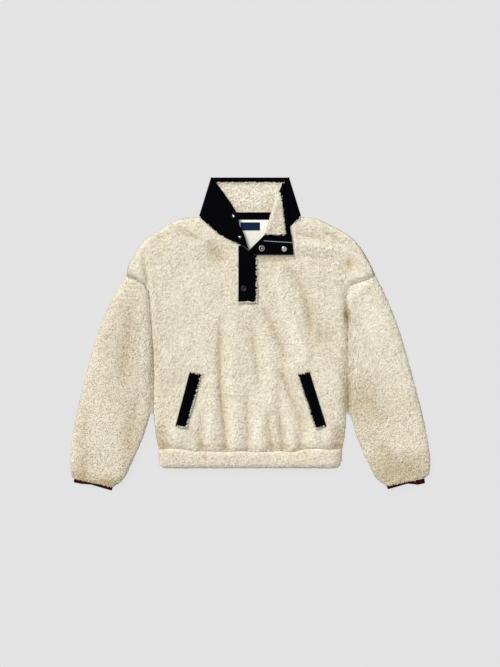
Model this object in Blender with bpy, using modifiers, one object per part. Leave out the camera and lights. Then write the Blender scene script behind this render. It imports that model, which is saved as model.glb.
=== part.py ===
"""Sherpa fleece pullover, laid flat with its front up.

The back rests on z = 0, the collar points to +Y and the wearer's left is at +X.
Tables and named sizes are in millimetres. MM turns them into Blender's metres.
"""
import math

import bpy
import numpy as np
from mathutils import Vector
from mathutils.bvhtree import BVHTree

MM = 0.001
NAME = "sherpa_fleece_pullover"

# Cloth thicknesses and gaps
FLEECE = 6.0            # fleece measured over its pile
COLLAR_FLEECE = 4.0
WOVEN = 1.6             # woven trim cloth
GAP = 0.3               # seam gap between two pieces

# Levels of the laid body
SEAM_LEVEL = 7.0        # where front and back meet round the outline
BODY_LEVEL = 15.5       # top of the front where it lies flat
SLEEVE_LEVEL = 15.8
ARMHOLE_LEVEL = 13.4    # top of the cloth in the crease along the armhole
ROUND_TOP = 24.0        # how far in from a fold the top cloth reaches its level
ROUND_UNDER = 9.0       # the same for the cloth underneath
ON_OUTLINE = 0.05       # a point nearer than this to the outline lies on it
CREASE_WIDTH = 11.0     # half width of the crease along the armhole

# Body
HEM_SEAM_Y = -271.5
NECK_HALF = 120.0       # shoulder point to the middle of the neck

# Placket, from its left edge to its right edge
PLACKET_LEFT = -27.6
PLACKET_RIGHT = 16.0
PLACKET_BOTTOM = 72.0
SLIT_MARGIN = 4.0       # how far each band laps over the cut edge of the front

# Collar fold radii, at the surface where the two collar cloths meet
FOLD_RADIUS = 6.0
COLLAR_MIDDLE = 7.75    # level half way between the collar's back and front
ROLL_RADIUS = 2.4
FACING_SHARE = 0.14     # share of the collar's height that the edge facing covers
FACING_INSET = 0.08     # share of the facing's height that is left free below it
BAND_COVER = 0.78       # the lining stops where the band covers this share of the height
COLLAR_SHARES = (0.0, 0.25, 0.5, 0.75, 1.0 - FACING_SHARE, 1.0)

# Neck tape, label and welts
TAPE_HALF, TAPE_LOW, TAPE_HIGH, TAPE_THICK = 86.0, 268.5, 285.5, 0.9
LABEL_LEFT, LABEL_RIGHT, LABEL_LOW, LABEL_HIGH, LABEL_THICK = -22.0, 23.0, 243.0, 262.0, 0.7
WELT_THICK = 2.0
SNAP_RADIUS = 7.0
STUD_RADIUS = 4.6

FLEECE_CREAM = (0.83, 0.76, 0.61)
WOVEN_NAVY = (0.006, 0.007, 0.014)
BINDING_RED = (0.10, 0.008, 0.012)
LABEL_BLUE = (0.012, 0.022, 0.055)
SNAP_STEEL = (0.62, 0.62, 0.60)
SNAP_DARK = (0.02, 0.022, 0.035)

# Side edges of the body, hem to shoulder end: y, x at the left, x at the right.
# The last step out is the armhole seam over the shoulder.
BODY_SIDES = (
    (-271.5, -215.5, 216.5),
    (-236.0, -222.0, 223.0),
    (-168.0, -228.5, 226.5),
    (-90.0, -230.5, 227.5),
    (8.0, -234.5, 226.5),
    (79.0, -238.5, 225.0),
    (116.0, -250.5, 229.0),
    (136.0, -291.5, 295.5),
)
SIDE_RUN_OUT = 3.0      # how far the side line would lean out without the armhole step

# Shoulder outline, neck to shoulder end: distance from the middle, y left, y right
SHOULDER = (
    (120.0, 274.0, 274.0),
    (157.0, 271.0, 269.5),
    (190.0, 257.5, 254.0),
    (212.0, 243.0, 243.0),
    (235.0, 229.0, 228.5),
    (254.0, 215.0, 209.5),
    (264.0, 200.0, 197.0),
    (271.5, 186.0, 184.0),
    (281.0, 170.0, 167.0),
    (288.0, 155.0, 153.0),
    (291.5, 136.0, 143.0),
    (295.5, 130.0, 136.0),
)

# Front neck seam, shoulder point to placket: distance from the middle, y left, y right
FRONT_NECK = (
    (120.0, 274.0, 274.0),
    (96.0, 252.0, 252.5),
    (71.0, 231.5, 230.0),
    (48.0, 219.0, 211.0),
    (28.0, 209.0, 198.0),
    (0.0, 206.0, 190.0),
)

# Back neck seam, in the same columns
BACK_NECK = (
    (0.0, 275.0, 275.0),
    (118.0, 275.0, 275.0),
    (120.0, 274.0, 274.0),
)

# Sleeves: outer line and inner line from the armhole to the cuff
SLEEVE_OUTER = {
    "right": ((-291.5, 136.0), (-327.0, 74.0), (-357.0, 1.0), (-386.5, -101.0), (-407.0, -185.0),
              (-420.0, -260.0), (-424.0, -305.0), (-422.0, -331.0), (-415.5, -342.0)),
    "left": ((295.5, 136.0), (326.0, 72.0), (353.0, 1.0), (379.0, -90.0), (404.0, -185.0),
             (419.0, -260.0), (424.0, -305.0), (420.5, -331.0), (411.0, -340.0)),
}
SLEEVE_INNER = {
    "right": ((-231.0, -90.4), (-232.0, -168.0), (-240.0, -205.0), (-254.0, -248.0),
              (-276.0, -298.0), (-300.0, -344.0), (-322.5, -361.5)),
    "left": ((228.0, -90.4), (229.5, -168.0), (240.0, -205.0), (253.0, -248.0),
             (275.0, -298.0), (299.0, -342.0), (321.0, -358.6)),
}
CUFF_DROP = 1.6         # how much lower the sleeve lies at its cuff

# Rings of the cuff binding: how far past the sleeve, and its width as a share of the sleeve's
CUFF_RINGS = ((GAP, 0.985), (2.5, 0.98), (6.5, 0.97))

# The sleeve starts this far outside the armhole seam
ARMHOLE_GAP_X, ARMHOLE_GAP_Y = 0.45, -0.4

# Folds of the front: trough (negative) or ridge (positive), lower and upper end, half width,
# height. They rise from the gathers at the hem.
FRONT_FOLDS = (
    # x low, y low, x high, y high, half width, height
    (-66.0, -272.0, -66.0, 10.0, 13.0, -2.4),
    (2.0, -272.0, 2.0, 50.0, 13.0, -2.4),
    (80.0, -272.0, 30.0, 75.0, 13.0, -2.4),
    (-34.0, -272.0, -32.0, 20.0, 18.0, 3.4),
    (40.0, -272.0, 28.0, 0.0, 17.0, 3.2),
    (-100.0, -272.0, -112.0, -60.0, 20.0, 3.0),
    (112.0, -272.0, 84.0, 40.0, 18.0, 3.0),
    (-160.0, -272.0, -170.0, -120.0, 20.0, 2.4),
    (168.0, -272.0, 170.0, -100.0, 20.0, 2.4),
    (104.0, 150.0, 140.0, 8.0, 18.0, -2.2),
    (-252.0, 116.0, -252.0, 187.0, 9.0, -4.0),
    (234.0, 150.0, 232.0, 172.0, 8.0, -3.0),
)

# Collar. Each station is a line across it, from the neck seam to the top edge.
COLLAR_LEFT_FRONT = (
    ((-3.5, 197.6), (-11.2, 238.5), (-25.3, 266.7), (-34.4, 289.0)),
    ((-23.6, 210.2), (-45.5, 307.0)),
    ((-47.7, 219.6), (-55.0, 320.5)),
    ((-71.8, 232.6), (-64.5, 334.0)),
    ((-95.9, 252.6), (-78.0, 352.0)),
    ((-112.6, 268.4), (-85.5, 365.8)),
)
COLLAR_LEFT_TIP = ((-118.6, 276.6), (-90.6, 367.4))
COLLAR_BACK = (
    ((-112.6, 277.0), (-84.6, 367.8)),
    ((-75.0, 276.0), (-56.0, 367.8)),
    ((-38.0, 275.6), (-28.0, 367.8)),
    ((0.0, 275.6), (0.0, 367.8)),
    ((38.0, 275.6), (28.0, 367.8)),
    ((75.0, 276.0), (56.0, 367.8)),
    ((112.2, 277.0), (84.2, 367.8)),
)
COLLAR_RIGHT_TIP = ((118.2, 276.6), (90.2, 367.4))
COLLAR_RIGHT_FOLD = ((112.2, 268.6), (85.2, 365.8))
COLLAR_RIGHT_SEAM = ((93.0, 250.4), (66.0, 226.6), (39.0, 205.8), (12.0, 194.4))
COLLAR_ROLL = ((3.5, 193.0), (38.5, 228.5), (61.0, 300.0), (79.5, 352.5))
COLLAR_TURNED_EDGE = ((1.5, 184.6), (102.4, 184.6))
ROLL_OUT = (-0.886, 0.463)      # the way the roll bulges
TURNED_STATIONS = 5
FOLD_STEPS = 6
ROLL_STEPS = 4
BAND_SEAM_Y = 232.0     # top of the turned band

# Pocket welts: corners at the top opening side, top front side, bottom front side,
# bottom opening side
WELTS = {
    "right": ((-142.0, -90.0), (-113.5, -94.5), (-149.5, -222.0), (-175.5, -217.5)),
    "left": ((139.0, -89.0), (111.0, -95.5), (153.5, -224.5), (179.0, -217.5)),
}

# Placket bands: x and the height of their top edge there
OVERLAP_TOP = ((-27.6, 207.0), (-16.0, 204.3), (-5.5, 197.5), (-4.4, 184.0), (6.0, 184.0),
               (16.0, 184.0))
UNDERLAP_TOP = ((-21.0, 207.0), (-12.0, 201.5), (-4.5, 196.5), (1.5, 188.0), (9.0, 188.0))
UNDERLAP_BOTTOM = 90.0
WELT_LIFT = 0.6
SNAP_STEPS = 16

# Hem band, seam to folded edge: y, x at the left, x at the right, level
HEM_BAND = (
    (-271.9, -214.5, 215.5, 16.5),
    (-280.0, -215.5, 216.0, 17.0),
    (-298.0, -214.5, 214.5, 17.0),
    (-309.0, -212.0, 211.5, 16.6),
    (-314.5, -208.0, 207.0, 15.6),
    (-317.0, -203.0, 202.0, 14.8),
)
HEM_WALL = 6.6

# Turned band, the inside of the front band: y, x at the roll, x at the collar's top edge
TURNED_BAND = (
    (184.8, -3.0, 102.0),
    (195.0, -3.2, 101.2),
    (213.0, 15.0, 99.4),
    (231.6, 33.5, 97.4),
)

# Snaps: node, x, y, radius, height, kind
SNAPS = (
    ("snap_socket", 27.2, 199.8, SNAP_RADIUS, 2.2, "socket"),
    ("snap_cap", 80.0, 198.0, SNAP_RADIUS, 2.6, "cap"),
    ("snap_stud_lower", -24.2, 226.5, STUD_RADIUS, 2.4, "stud"),
    ("snap_stud_upper", -39.0, 275.5, STUD_RADIUS, 2.4, "stud"),
    ("snap_closed", -15.0, 105.5, SNAP_RADIUS, 2.0, "closed"),
)


def clear_scene():
    for thing in list(bpy.data.objects):
        bpy.data.objects.remove(thing, do_unlink=True)


def make_material(name, colour, roughness, metallic=0.0):
    material = bpy.data.materials.new(name)
    material.use_nodes = True
    shader = material.node_tree.nodes["Principled BSDF"]
    shader.inputs["Base Color"].default_value = (*colour, 1.0)
    shader.inputs["Roughness"].default_value = roughness
    shader.inputs["Metallic"].default_value = metallic
    return material


def add_mesh_object(collection, name, points, faces, material):
    """One object from points in millimetres."""
    mesh = bpy.data.meshes.new(name)
    mesh.from_pydata((np.asarray(points) * MM).tolist(), [], faces)
    mesh.update()
    piece = bpy.data.objects.new(name, mesh)
    mesh.materials.append(material)
    collection.objects.link(piece)
    return piece


def grid_numbers(shape, start=0):
    return start + np.arange(shape[0] * shape[1]).reshape(shape)


def quads_of(numbers):
    """Faces of a grid of point numbers, seen counter-clockwise with rows up and columns right."""
    low, high = numbers[:-1], numbers[1:]
    return np.stack([low[:, :-1], low[:, 1:], high[:, 1:], high[:, :-1]], axis=-1).reshape(-1, 4)


def add_wall_piece(collection, name, upper, lower, material, keep=None, closed=False):
    """A cloth wall between two grids of points that share their rows and columns.

    upper is the side that shows. closed joins the last column to the first, as in a tube, and
    keep marks the cells that are cloth, so that a slit can be left out of a panel.
    """
    rows, columns = upper.shape[:2]
    top = grid_numbers((rows, columns))
    bottom = top + rows * columns
    if closed:
        top = np.concatenate([top, top[:, :1]], axis=1)
        bottom = np.concatenate([bottom, bottom[:, :1]], axis=1)
    cells = np.ones((top.shape[0] - 1, top.shape[1] - 1), bool) if keep is None else keep
    faces = [quads_of(top)[cells.ravel()], quads_of(bottom)[cells.ravel()][:, ::-1]]
    faces.append(rim_faces(top, bottom, cells, closed))
    faces = np.concatenate(faces)
    points = np.concatenate([upper.reshape(-1, 3), lower.reshape(-1, 3)])
    used, renumbered = np.unique(faces, return_inverse=True)
    return add_mesh_object(collection, name, points[used],
                           renumbered.reshape(faces.shape).tolist(), material)


def rim_faces(top, bottom, cells, closed):
    """Walls along every cell edge that has cloth on one side only."""
    rows, columns = cells.shape
    padded = np.zeros((rows + 2, columns + 2), bool)
    padded[1:-1, 1:-1] = cells
    if closed:
        padded[1:-1, 0] = cells[:, -1]
        padded[1:-1, -1] = cells[:, 0]
    walls = []
    for row in range(rows + 1):
        for column in range(columns):
            below, above = padded[row, column + 1], padded[row + 1, column + 1]
            a, b = (row, column), (row, column + 1)
            if above and not below:
                walls.append((top[b], top[a], bottom[a], bottom[b]))
            if below and not above:
                walls.append((top[a], top[b], bottom[b], bottom[a]))
    last = columns if closed else columns + 1
    for row in range(rows):
        for column in range(last):
            before, after = padded[row + 1, column], padded[row + 1, column + 1]
            a, b = (row, column), (row + 1, column)
            if after and not before:
                walls.append((top[a], top[b], bottom[b], bottom[a]))
            if before and not after:
                walls.append((top[b], top[a], bottom[a], bottom[b]))
    return np.array(walls)


def table_curve(table, key, at):
    """Values read from a table's columns at each position along its key column."""
    rows = np.array(table, float)
    order = np.argsort(rows[:, 0])
    return np.interp(at, rows[order, 0], rows[order, key])


def resample(line, shares):
    """Points at the given shares of a line's length."""
    line = np.array(line, float)
    steps = np.linalg.norm(np.diff(line, axis=0), axis=1)
    along = np.concatenate([[0.0], np.cumsum(steps)]) / steps.sum()
    return np.stack([np.interp(shares, along, line[:, axis]) for axis in range(line.shape[1])],
                    axis=-1)


def nearest_on_line(plan, line):
    """Distance from each plan point to a line, and the unit direction away from the line."""
    line = np.array(line, float)
    best = np.full(plan.shape[:-1], np.inf)
    away = np.zeros(plan.shape)
    for start, end in zip(line[:-1], line[1:]):
        run = end - start
        share = np.clip(((plan - start) @ run) / (run @ run), 0.0, 1.0)
        offset = plan - (start + share[..., None] * run)
        distance = np.linalg.norm(offset, axis=-1)
        nearer = distance < best
        best = np.where(nearer, distance, best)
        away = np.where(nearer[..., None], offset, away)
    return best, away / np.maximum(best, 1e-6)[..., None]


def rounded(distance, reach):
    """0 at a fold, 1 from reach inwards, along a quarter of an ellipse."""
    share = np.clip(distance / reach, 0.0, 1.0)
    return np.sqrt(np.maximum(1.0 - (1.0 - share) ** 2, 0.0))


def fold_heights(plan, folds):
    """Sum of soft troughs and ridges, each fading out towards its upper end."""
    total = np.zeros(plan.shape[:-1])
    for x_low, y_low, x_high, y_high, half_width, height in folds:
        start = np.array((x_low, y_low))
        run = np.array((x_high, y_high)) - start
        share = ((plan - start) @ run) / (run @ run)
        inside = np.clip(share, 0.0, 1.0)
        away = np.linalg.norm(plan - (start + inside[..., None] * run), axis=-1)
        fade = np.cos(0.5 * np.pi * inside) ** 0.7
        total += height * fade * np.exp(-(away / half_width) ** 2)
    return total


def towards_edge(count):
    """Shares from 0 to 1 that crowd towards 1."""
    return np.sin(0.5 * np.pi * np.arange(count + 1) / count)


# Rows of a body panel, by their height on its side edge
ROW_HEIGHTS = np.array((-271.5, -261.0, -244.0, -222.0, -196.0, -168.0, -129.0, -90.0, -57.0,
                        -24.0, 8.0, 32.0, 56.0, 79.0, 98.0, 116.0, 124.0, 130.5, 134.3, 136.0))
COLUMNS_TO_NECK = 4
COLUMNS_TO_SIDE = 9
BACK_ROW_HEIGHTS = np.array((-271.5, -236.0, -168.0, -90.0, 8.0, 79.0, 116.0, 130.5, 134.3,
                             136.0))
BACK_MIDDLE = (-30.0, 30.0)
BACK_COLUMNS_TO_NECK = 3
BACK_COLUMNS_TO_SIDE = 6


def panel_plan(neck, slit, heights, to_neck, to_side):
    """Plan of a body panel: rows from hem to shoulder, columns from left to right.

    Two columns stand at the edges of the slit, two end at the shoulder points, and the outer
    ones crowd towards the sides.
    """
    sides = np.array(BODY_SIDES)
    row_shares = (heights - heights[0]) / np.ptp(heights)
    step_from = sides[-2, 0]
    halves = []
    for side, inner in ((-1, slit[0]), (1, slit[1])):
        key = 1 if side < 0 else 2
        edge = np.abs(np.interp(heights, sides[:, 0], sides[:, key]))
        corner = abs(sides[-2, key])
        smooth = np.where(heights > step_from,
                          np.interp(heights, (step_from, sides[-1, 0]),
                                    (corner, corner + SIDE_RUN_OUT)), edge)
        start = side * inner
        neck_share = (NECK_HALF - start) / (smooth[-1] - start)
        shares = np.concatenate([
            np.linspace(0.0, neck_share, to_neck + 1)[:-1],
            neck_share + (1.0 - neck_share) * towards_edge(to_side)])
        across = (start + (smooth - start)[:, None] * shares
                  + (edge - smooth)[:, None] * shares ** 8)
        top_across = across[-1]
        top_y = np.where(top_across > NECK_HALF + 1.0,
                         table_curve(SHOULDER, key, top_across),
                         table_curve(neck, key, top_across))
        y = HEM_SEAM_Y + row_shares[:, None] * (top_y - HEM_SEAM_Y)
        halves.append(np.stack([side * across, y], axis=-1))
    return np.concatenate([halves[0][:, ::-1], halves[1]], axis=1)


def side_lines():
    """The body's closed side folds, its armhole creases and its shoulder outlines."""
    sides = np.array(BODY_SIDES)
    shoulder = np.array(SHOULDER)
    folds, creases, shoulders = [], [], []
    for side, key in ((-1, 1), (1, 2)):
        line = sides[:, (key, 0)]
        folds.append(line[:4])
        creases.append(line[3:7])
        outline = np.stack([side * shoulder[:, 0], shoulder[:, key]], axis=-1)
        end = sides[-1, key]
        shoulders.append(outline[np.abs(outline[:, 0]) <= abs(end)])
    return folds, creases, shoulders


def body_surfaces(plan):
    """Distances that shape the body: to the closed outline and to the armhole crease."""
    folds, creases, shoulders = side_lines()
    closed = np.full(plan.shape[:-1], np.inf)
    inward = np.zeros(plan.shape)
    for line in folds + shoulders:
        distance, away = nearest_on_line(plan, line)
        nearer = distance < closed
        closed = np.where(nearer, distance, closed)
        inward = np.where(nearer[..., None], away, inward)
    crease = np.minimum(*(nearest_on_line(plan, line)[0] for line in creases))
    return closed, inward, crease


def outline_inward(plan, inward, closed):
    """Directions into the panel, also for the points that lie on its outline.

    On the outline they point at the body's middle line below the shoulders, and at the
    middle of the body along the shoulders.
    """
    across = np.stack([-plan[..., 0], np.zeros(plan.shape[:-1])], axis=-1)
    to_middle = np.where((plan[..., 1] > SHOULDER[-1][1])[..., None], -plan, across)
    to_middle /= np.maximum(np.linalg.norm(to_middle, axis=-1), 1e-6)[..., None]
    return np.where((closed < ON_OUTLINE)[..., None], to_middle, inward)


def front_level(plan):
    """Top of the front before it rounds down to its edges."""
    return BODY_LEVEL + fold_heights(plan, FRONT_FOLDS)


def build_front(collection, material):
    slit = (PLACKET_LEFT + SLIT_MARGIN, PLACKET_RIGHT - SLIT_MARGIN)
    plan = panel_plan(FRONT_NECK, slit, ROW_HEIGHTS, COLUMNS_TO_NECK, COLUMNS_TO_SIDE)
    closed, inward, crease = body_surfaces(plan)
    inward = outline_inward(plan, inward, closed)
    level = front_level(plan)
    floor = SEAM_LEVEL + GAP
    dip = (ARMHOLE_LEVEL - level) * np.exp(-(crease / CREASE_WIDTH) ** 2)
    level = level + dip
    round_top = rounded(closed, ROUND_TOP)
    top = floor + (level - floor) * round_top
    inset = FLEECE * np.clip(1.0 - closed / ROUND_TOP, 0.0, 1.0)
    under = floor + (level - FLEECE - floor) * round_top
    upper = np.concatenate([plan, top[..., None]], axis=-1)
    lower = np.concatenate([plan + inward * inset[..., None], under[..., None]], axis=-1)
    keep = np.ones((plan.shape[0] - 1, plan.shape[1] - 1), bool)
    middle = COLUMNS_TO_NECK + COLUMNS_TO_SIDE
    open_rows = plan[:-1, middle, 1] > PLACKET_BOTTOM + SLIT_MARGIN
    keep[open_rows, middle] = False
    return add_wall_piece(collection, "front_panel", upper, lower, material, keep=keep)


def build_back(collection, material):
    plan = panel_plan(BACK_NECK, BACK_MIDDLE, BACK_ROW_HEIGHTS, BACK_COLUMNS_TO_NECK,
                      BACK_COLUMNS_TO_SIDE)
    closed, inward, _ = body_surfaces(plan)
    inward = outline_inward(plan, inward, closed)
    under = SEAM_LEVEL * (1.0 - rounded(closed, ROUND_UNDER))
    inset = FLEECE * np.clip(1.0 - closed / ROUND_UNDER, 0.0, 1.0)
    top = np.clip(FLEECE + (SEAM_LEVEL - FLEECE) * (1.0 - rounded(closed, ROUND_UNDER)),
                  FLEECE, SEAM_LEVEL)
    lower = np.concatenate([plan, under[..., None]], axis=-1)
    upper = np.concatenate([plan + inward * inset[..., None], top[..., None]], axis=-1)
    return add_wall_piece(collection, "back_panel", upper, lower, material)


def tube_rings(plan, closed, inward, level, wall):
    """Outer and inner rings of a flattened tube from its plan.

    The plan's columns run from one fold to the other. A ring runs back along the underside.
    """
    round_top = rounded(closed, ROUND_TOP)
    round_under = rounded(closed, ROUND_UNDER)
    inset_top = wall * np.clip(1.0 - closed / ROUND_TOP, 0.0, 1.0)
    inset_under = wall * np.clip(1.0 - closed / ROUND_UNDER, 0.0, 1.0)
    outer_top = SEAM_LEVEL + (level - SEAM_LEVEL) * round_top
    inner_top = SEAM_LEVEL + (level - wall - SEAM_LEVEL) * round_top
    outer_under = SEAM_LEVEL * (1.0 - round_under)
    inner_under = wall + (SEAM_LEVEL - wall) * (1.0 - round_under)

    def ring(top_plan, top, under_plan, under):
        upper = np.concatenate([top_plan, top[..., None]], axis=-1)
        lower = np.concatenate([under_plan, under[..., None]], axis=-1)
        return np.concatenate([upper, lower[:, -2:0:-1]], axis=1)

    outer = ring(plan, outer_top, plan, outer_under)
    inner = ring(plan + inward * inset_top[..., None], inner_top,
                 plan + inward * inset_under[..., None], inner_under)
    return outer, inner


def sleeve_plan(side):
    """Coons patch between the armhole, the cuff and the sleeve's outer and inner folds.

    Columns stand at the corners of the armhole seam. Rows run from the armhole to the cuff.
    """
    outer, inner = SLEEVE_OUTER[side], SLEEVE_INNER[side]
    sign = -1.0 if side == "right" else 1.0
    key = 1 if side == "right" else 2
    sides = np.array(BODY_SIDES)[3:][::-1]
    mouth = sides[:, (key, 0)] + np.array((sign * ARMHOLE_GAP_X, ARMHOLE_GAP_Y))
    steps = np.linalg.norm(np.diff(mouth, axis=0), axis=1)
    corners = np.concatenate([[0.0], np.cumsum(steps)]) / steps.sum()
    first = corners[1] * (1.0 - towards_edge(4)[::-1])
    last = corners[-2] + (1.0 - corners[-2]) * towards_edge(5)
    between = [np.linspace(low, high, 3)[:-1] for low, high in zip(corners[1:-2], corners[2:-1])]
    across = np.concatenate([first[:-1], *between, last])
    along = np.array((0.0, 0.04, 0.1, 0.18, 0.28, 0.39, 0.5, 0.61, 0.72, 0.82, 0.9, 0.96, 1.0))
    start, end = resample(mouth, across), resample((outer[-1], inner[-1]), across)
    low, high = resample(np.array(outer), along), resample(np.array(inner), along)
    low[0], high[0] = mouth[0], mouth[-1]
    u, v = across[None, :, None], along[:, None, None]
    corner_sum = ((1 - u) * (1 - v) * start[0] + u * (1 - v) * start[-1]
                  + (1 - u) * v * end[0] + u * v * end[-1])
    plan = ((1 - v) * start[None] + v * end[None] + (1 - u) * low[:, None]
            + u * high[:, None] - corner_sum)
    return plan, low, high, mouth


def side_inward(plan):
    """Unit directions across a plan from its first column to its last, turned at the middle."""
    across = plan[:, -1:] - plan[:, :1]
    across = across / np.linalg.norm(across, axis=-1, keepdims=True)
    middle = plan.shape[1] // 2
    turned = np.where(np.arange(plan.shape[1]) > middle, -1.0, 1.0)[None, :, None]
    return np.broadcast_to(across, plan.shape) * turned


def build_sleeves(collection, fleece, binding):
    for side in ("right", "left"):
        plan, low, high, mouth = sleeve_plan(side)
        closed = np.minimum(nearest_on_line(plan, low)[0], nearest_on_line(plan, high)[0])
        crease = nearest_on_line(plan, mouth[1:])[0]
        towards_cuff = np.linspace(0.0, 1.0, plan.shape[0])[:, None]
        level = SLEEVE_LEVEL - CUFF_DROP * towards_cuff ** 4
        level = level + (ARMHOLE_LEVEL - level) * np.exp(-(crease / CREASE_WIDTH) ** 2)
        outer, inner = tube_rings(plan, closed, side_inward(plan), level, FLEECE)
        if side == "left":
            outer, inner = outer[:, ::-1], inner[:, ::-1]
        add_wall_piece(collection, f"sleeve_{side}", outer[::-1], inner[::-1], fleece,
                       closed=True)
        build_cuff(collection, side, outer[-1], inner[-1], binding)


def build_cuff(collection, side, outer_end, inner_end, binding):
    """A bound elastic edge: the sleeve's last ring carried on past the sleeve."""
    across = outer_end[:, :2].max(axis=0) - outer_end[:, :2].min(axis=0)
    out = np.array((across[1] * (-1.0 if side == "right" else 1.0), -across[0], 0.0))
    out /= np.linalg.norm(out)
    middle = 0.5 * (outer_end.max(axis=0) + outer_end.min(axis=0))
    steps, shrink = np.array(CUFF_RINGS).T
    outer = middle + (outer_end - middle)[None] * shrink[:, None, None]
    outer[..., 2] = outer_end[None, :, 2]
    inner = middle + (inner_end - middle)[None] * shrink[:, None, None]
    inner[..., 2] = inner_end[None, :, 2]
    outer = outer + steps[:, None, None] * out
    inner = inner + steps[:, None, None] * out
    add_wall_piece(collection, f"cuff_binding_{side}", outer[::-1], inner[::-1], binding,
                   closed=True)


def build_hem(collection, material):
    """A flattened elastic ring with rounded lower corners."""
    edges = np.array(HEM_BAND)
    left, right = edges[:, 1], edges[:, 2]
    half = towards_edge(9)
    shares = np.concatenate([0.5 - 0.5 * half[::-1], 0.5 + 0.5 * half[1:]])
    x = left[:, None] + (right - left)[:, None] * shares
    plan = np.stack([x, np.broadcast_to(edges[:, :1], x.shape)], axis=-1)
    closed = np.minimum(x - left[:, None], right[:, None] - x)
    level = edges[:, 3][:, None] + 0.0 * x
    outer, inner = tube_rings(plan, closed, side_inward(plan), level, HEM_WALL)
    add_wall_piece(collection, "hem_band", outer[::-1], inner[::-1], material, closed=True)


def fold_round(base, tip, middle, radius, angles, facing):
    """Stations round a fold, as plan, level and the normal of the collar's outside.

    An angle of 0 is the top of the half circle and pi its bottom. base holds the plan of both
    ends, and facing is 1 where the collar's outside is outside the fold, -1 where it is inside.
    """
    stations = []
    for angle in angles:
        start = base[0] if angle < 0.5 * math.pi else base[1]
        bulge = (tip - start) / np.linalg.norm(tip - start, axis=-1, keepdims=True)
        plan = start + (tip - start) * math.sin(angle)
        normal = np.concatenate([bulge * math.sin(angle),
                                 np.full(plan.shape[:1] + (1,), math.cos(angle))], axis=-1)
        stations.append((plan, middle + radius * math.cos(angle), facing * normal))
    return stations


def flat_stations(lines, level, up):
    """Stations that lie flat at one level, with the collar's outside up (1) or down (-1)."""
    normal = np.array((0.0, 0.0, up))
    return [(line, level, np.broadcast_to(normal, line.shape[:1] + (3,))) for line in lines]


def right_front_line(fold, roll, seam_point, shares):
    """A line across the right front, between its side fold and its roll, from the neck seam."""
    share = (fold[0, 0] - seam_point[0]) / (fold[0, 0] - roll[0, 0])
    line = fold + (roll - fold) * share
    return line + (np.array(seam_point) - line[0]) * ((1.0 - shares) ** 2)[:, None]


def collar_surface(shares):
    """Points and outside normals of the surface where the collar's two cloths meet.

    Stations run from the left front edge, round the back, to the turned-back front edge, and
    each holds a point at every given share of the collar's height.
    """
    front = COLLAR_MIDDLE + FOLD_RADIUS
    back = COLLAR_MIDDLE - FOLD_RADIUS
    turned = front + 2.0 * ROLL_RADIUS
    lefts = [resample(line, shares) for line in COLLAR_LEFT_FRONT]
    backs = [resample(line, shares) for line in COLLAR_BACK]
    left_tip, right_tip, fold, roll, edge = (
        resample(line, shares) for line in (COLLAR_LEFT_TIP, COLLAR_RIGHT_TIP, COLLAR_RIGHT_FOLD,
                                            COLLAR_ROLL, COLLAR_TURNED_EDGE))
    rights = [right_front_line(fold, roll, point, shares) for point in COLLAR_RIGHT_SEAM]
    turned_back = [roll + (edge - roll) * share
                   for share in np.linspace(0.0, 1.0, TURNED_STATIONS + 1)]
    round_fold = np.pi * np.arange(1, FOLD_STEPS) / FOLD_STEPS
    round_roll = np.pi * np.arange(ROLL_STEPS - 1, 0, -1) / ROLL_STEPS
    stations = flat_stations(lefts, front, 1.0)
    stations += fold_round((lefts[-1], backs[0]), left_tip, COLLAR_MIDDLE, FOLD_RADIUS,
                           round_fold, 1.0)
    stations += flat_stations(backs, back, -1.0)
    stations += fold_round((fold, backs[-1]), right_tip, COLLAR_MIDDLE, FOLD_RADIUS,
                           round_fold[::-1], 1.0)
    stations += flat_stations([fold, *rights, roll], front, 1.0)
    stations += fold_round((roll, roll), roll + np.array(ROLL_OUT) * ROLL_RADIUS,
                           0.5 * (front + turned), ROLL_RADIUS, round_roll, -1.0)
    stations += flat_stations(turned_back, turned, -1.0)
    surface = np.stack([np.concatenate([plan, np.full(plan.shape[:1] + (1,), level)], axis=-1)
                        for plan, level, _ in stations])
    return surface, np.stack([normal for _, _, normal in stations])


def build_collar(collection, woven, fleece):
    half_gap = 0.5 * GAP
    shares = np.array(COLLAR_SHARES)
    surface, normal = collar_surface(shares)
    add_wall_piece(collection, "collar_outer", surface + normal * (half_gap + WOVEN),
                   surface + normal * half_gap, woven)
    count = surface.shape[0]
    turned = count - TURNED_STATIONS - 1
    seam_share = band_seam_shares(surface, shares, turned)
    first, last = 2, turned + int((seam_share < BAND_COVER).sum())
    lining, lining_normal = trimmed(surface, normal, shares, first, last, turned, seam_share)
    add_wall_piece(collection, "collar_lining", lining - lining_normal * half_gap,
                   lining - lining_normal * (half_gap + COLLAR_FLEECE), fleece)
    facing_last = turned + int((surface[turned:, -1, 1] > BAND_SEAM_Y + 1.0).sum())
    low_edge, top_edge = surface[:facing_last, -2], surface[:facing_last, -1]
    facing = np.stack([low_edge + (top_edge - low_edge) * FACING_INSET, top_edge], axis=1)
    facing_normal = normal[:facing_last, -2:]
    add_wall_piece(collection, "collar_edge_facing", facing - facing_normal * half_gap,
                   facing - facing_normal * (half_gap + WOVEN), woven)


def band_seam_shares(surface, shares, turned):
    """Share of the collar's height at which each turned station crosses the band's seam."""
    return np.array([np.interp(BAND_SEAM_Y + 0.6, line[:, 1], shares, right=1.0)
                     for line in surface[turned:]])


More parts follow.
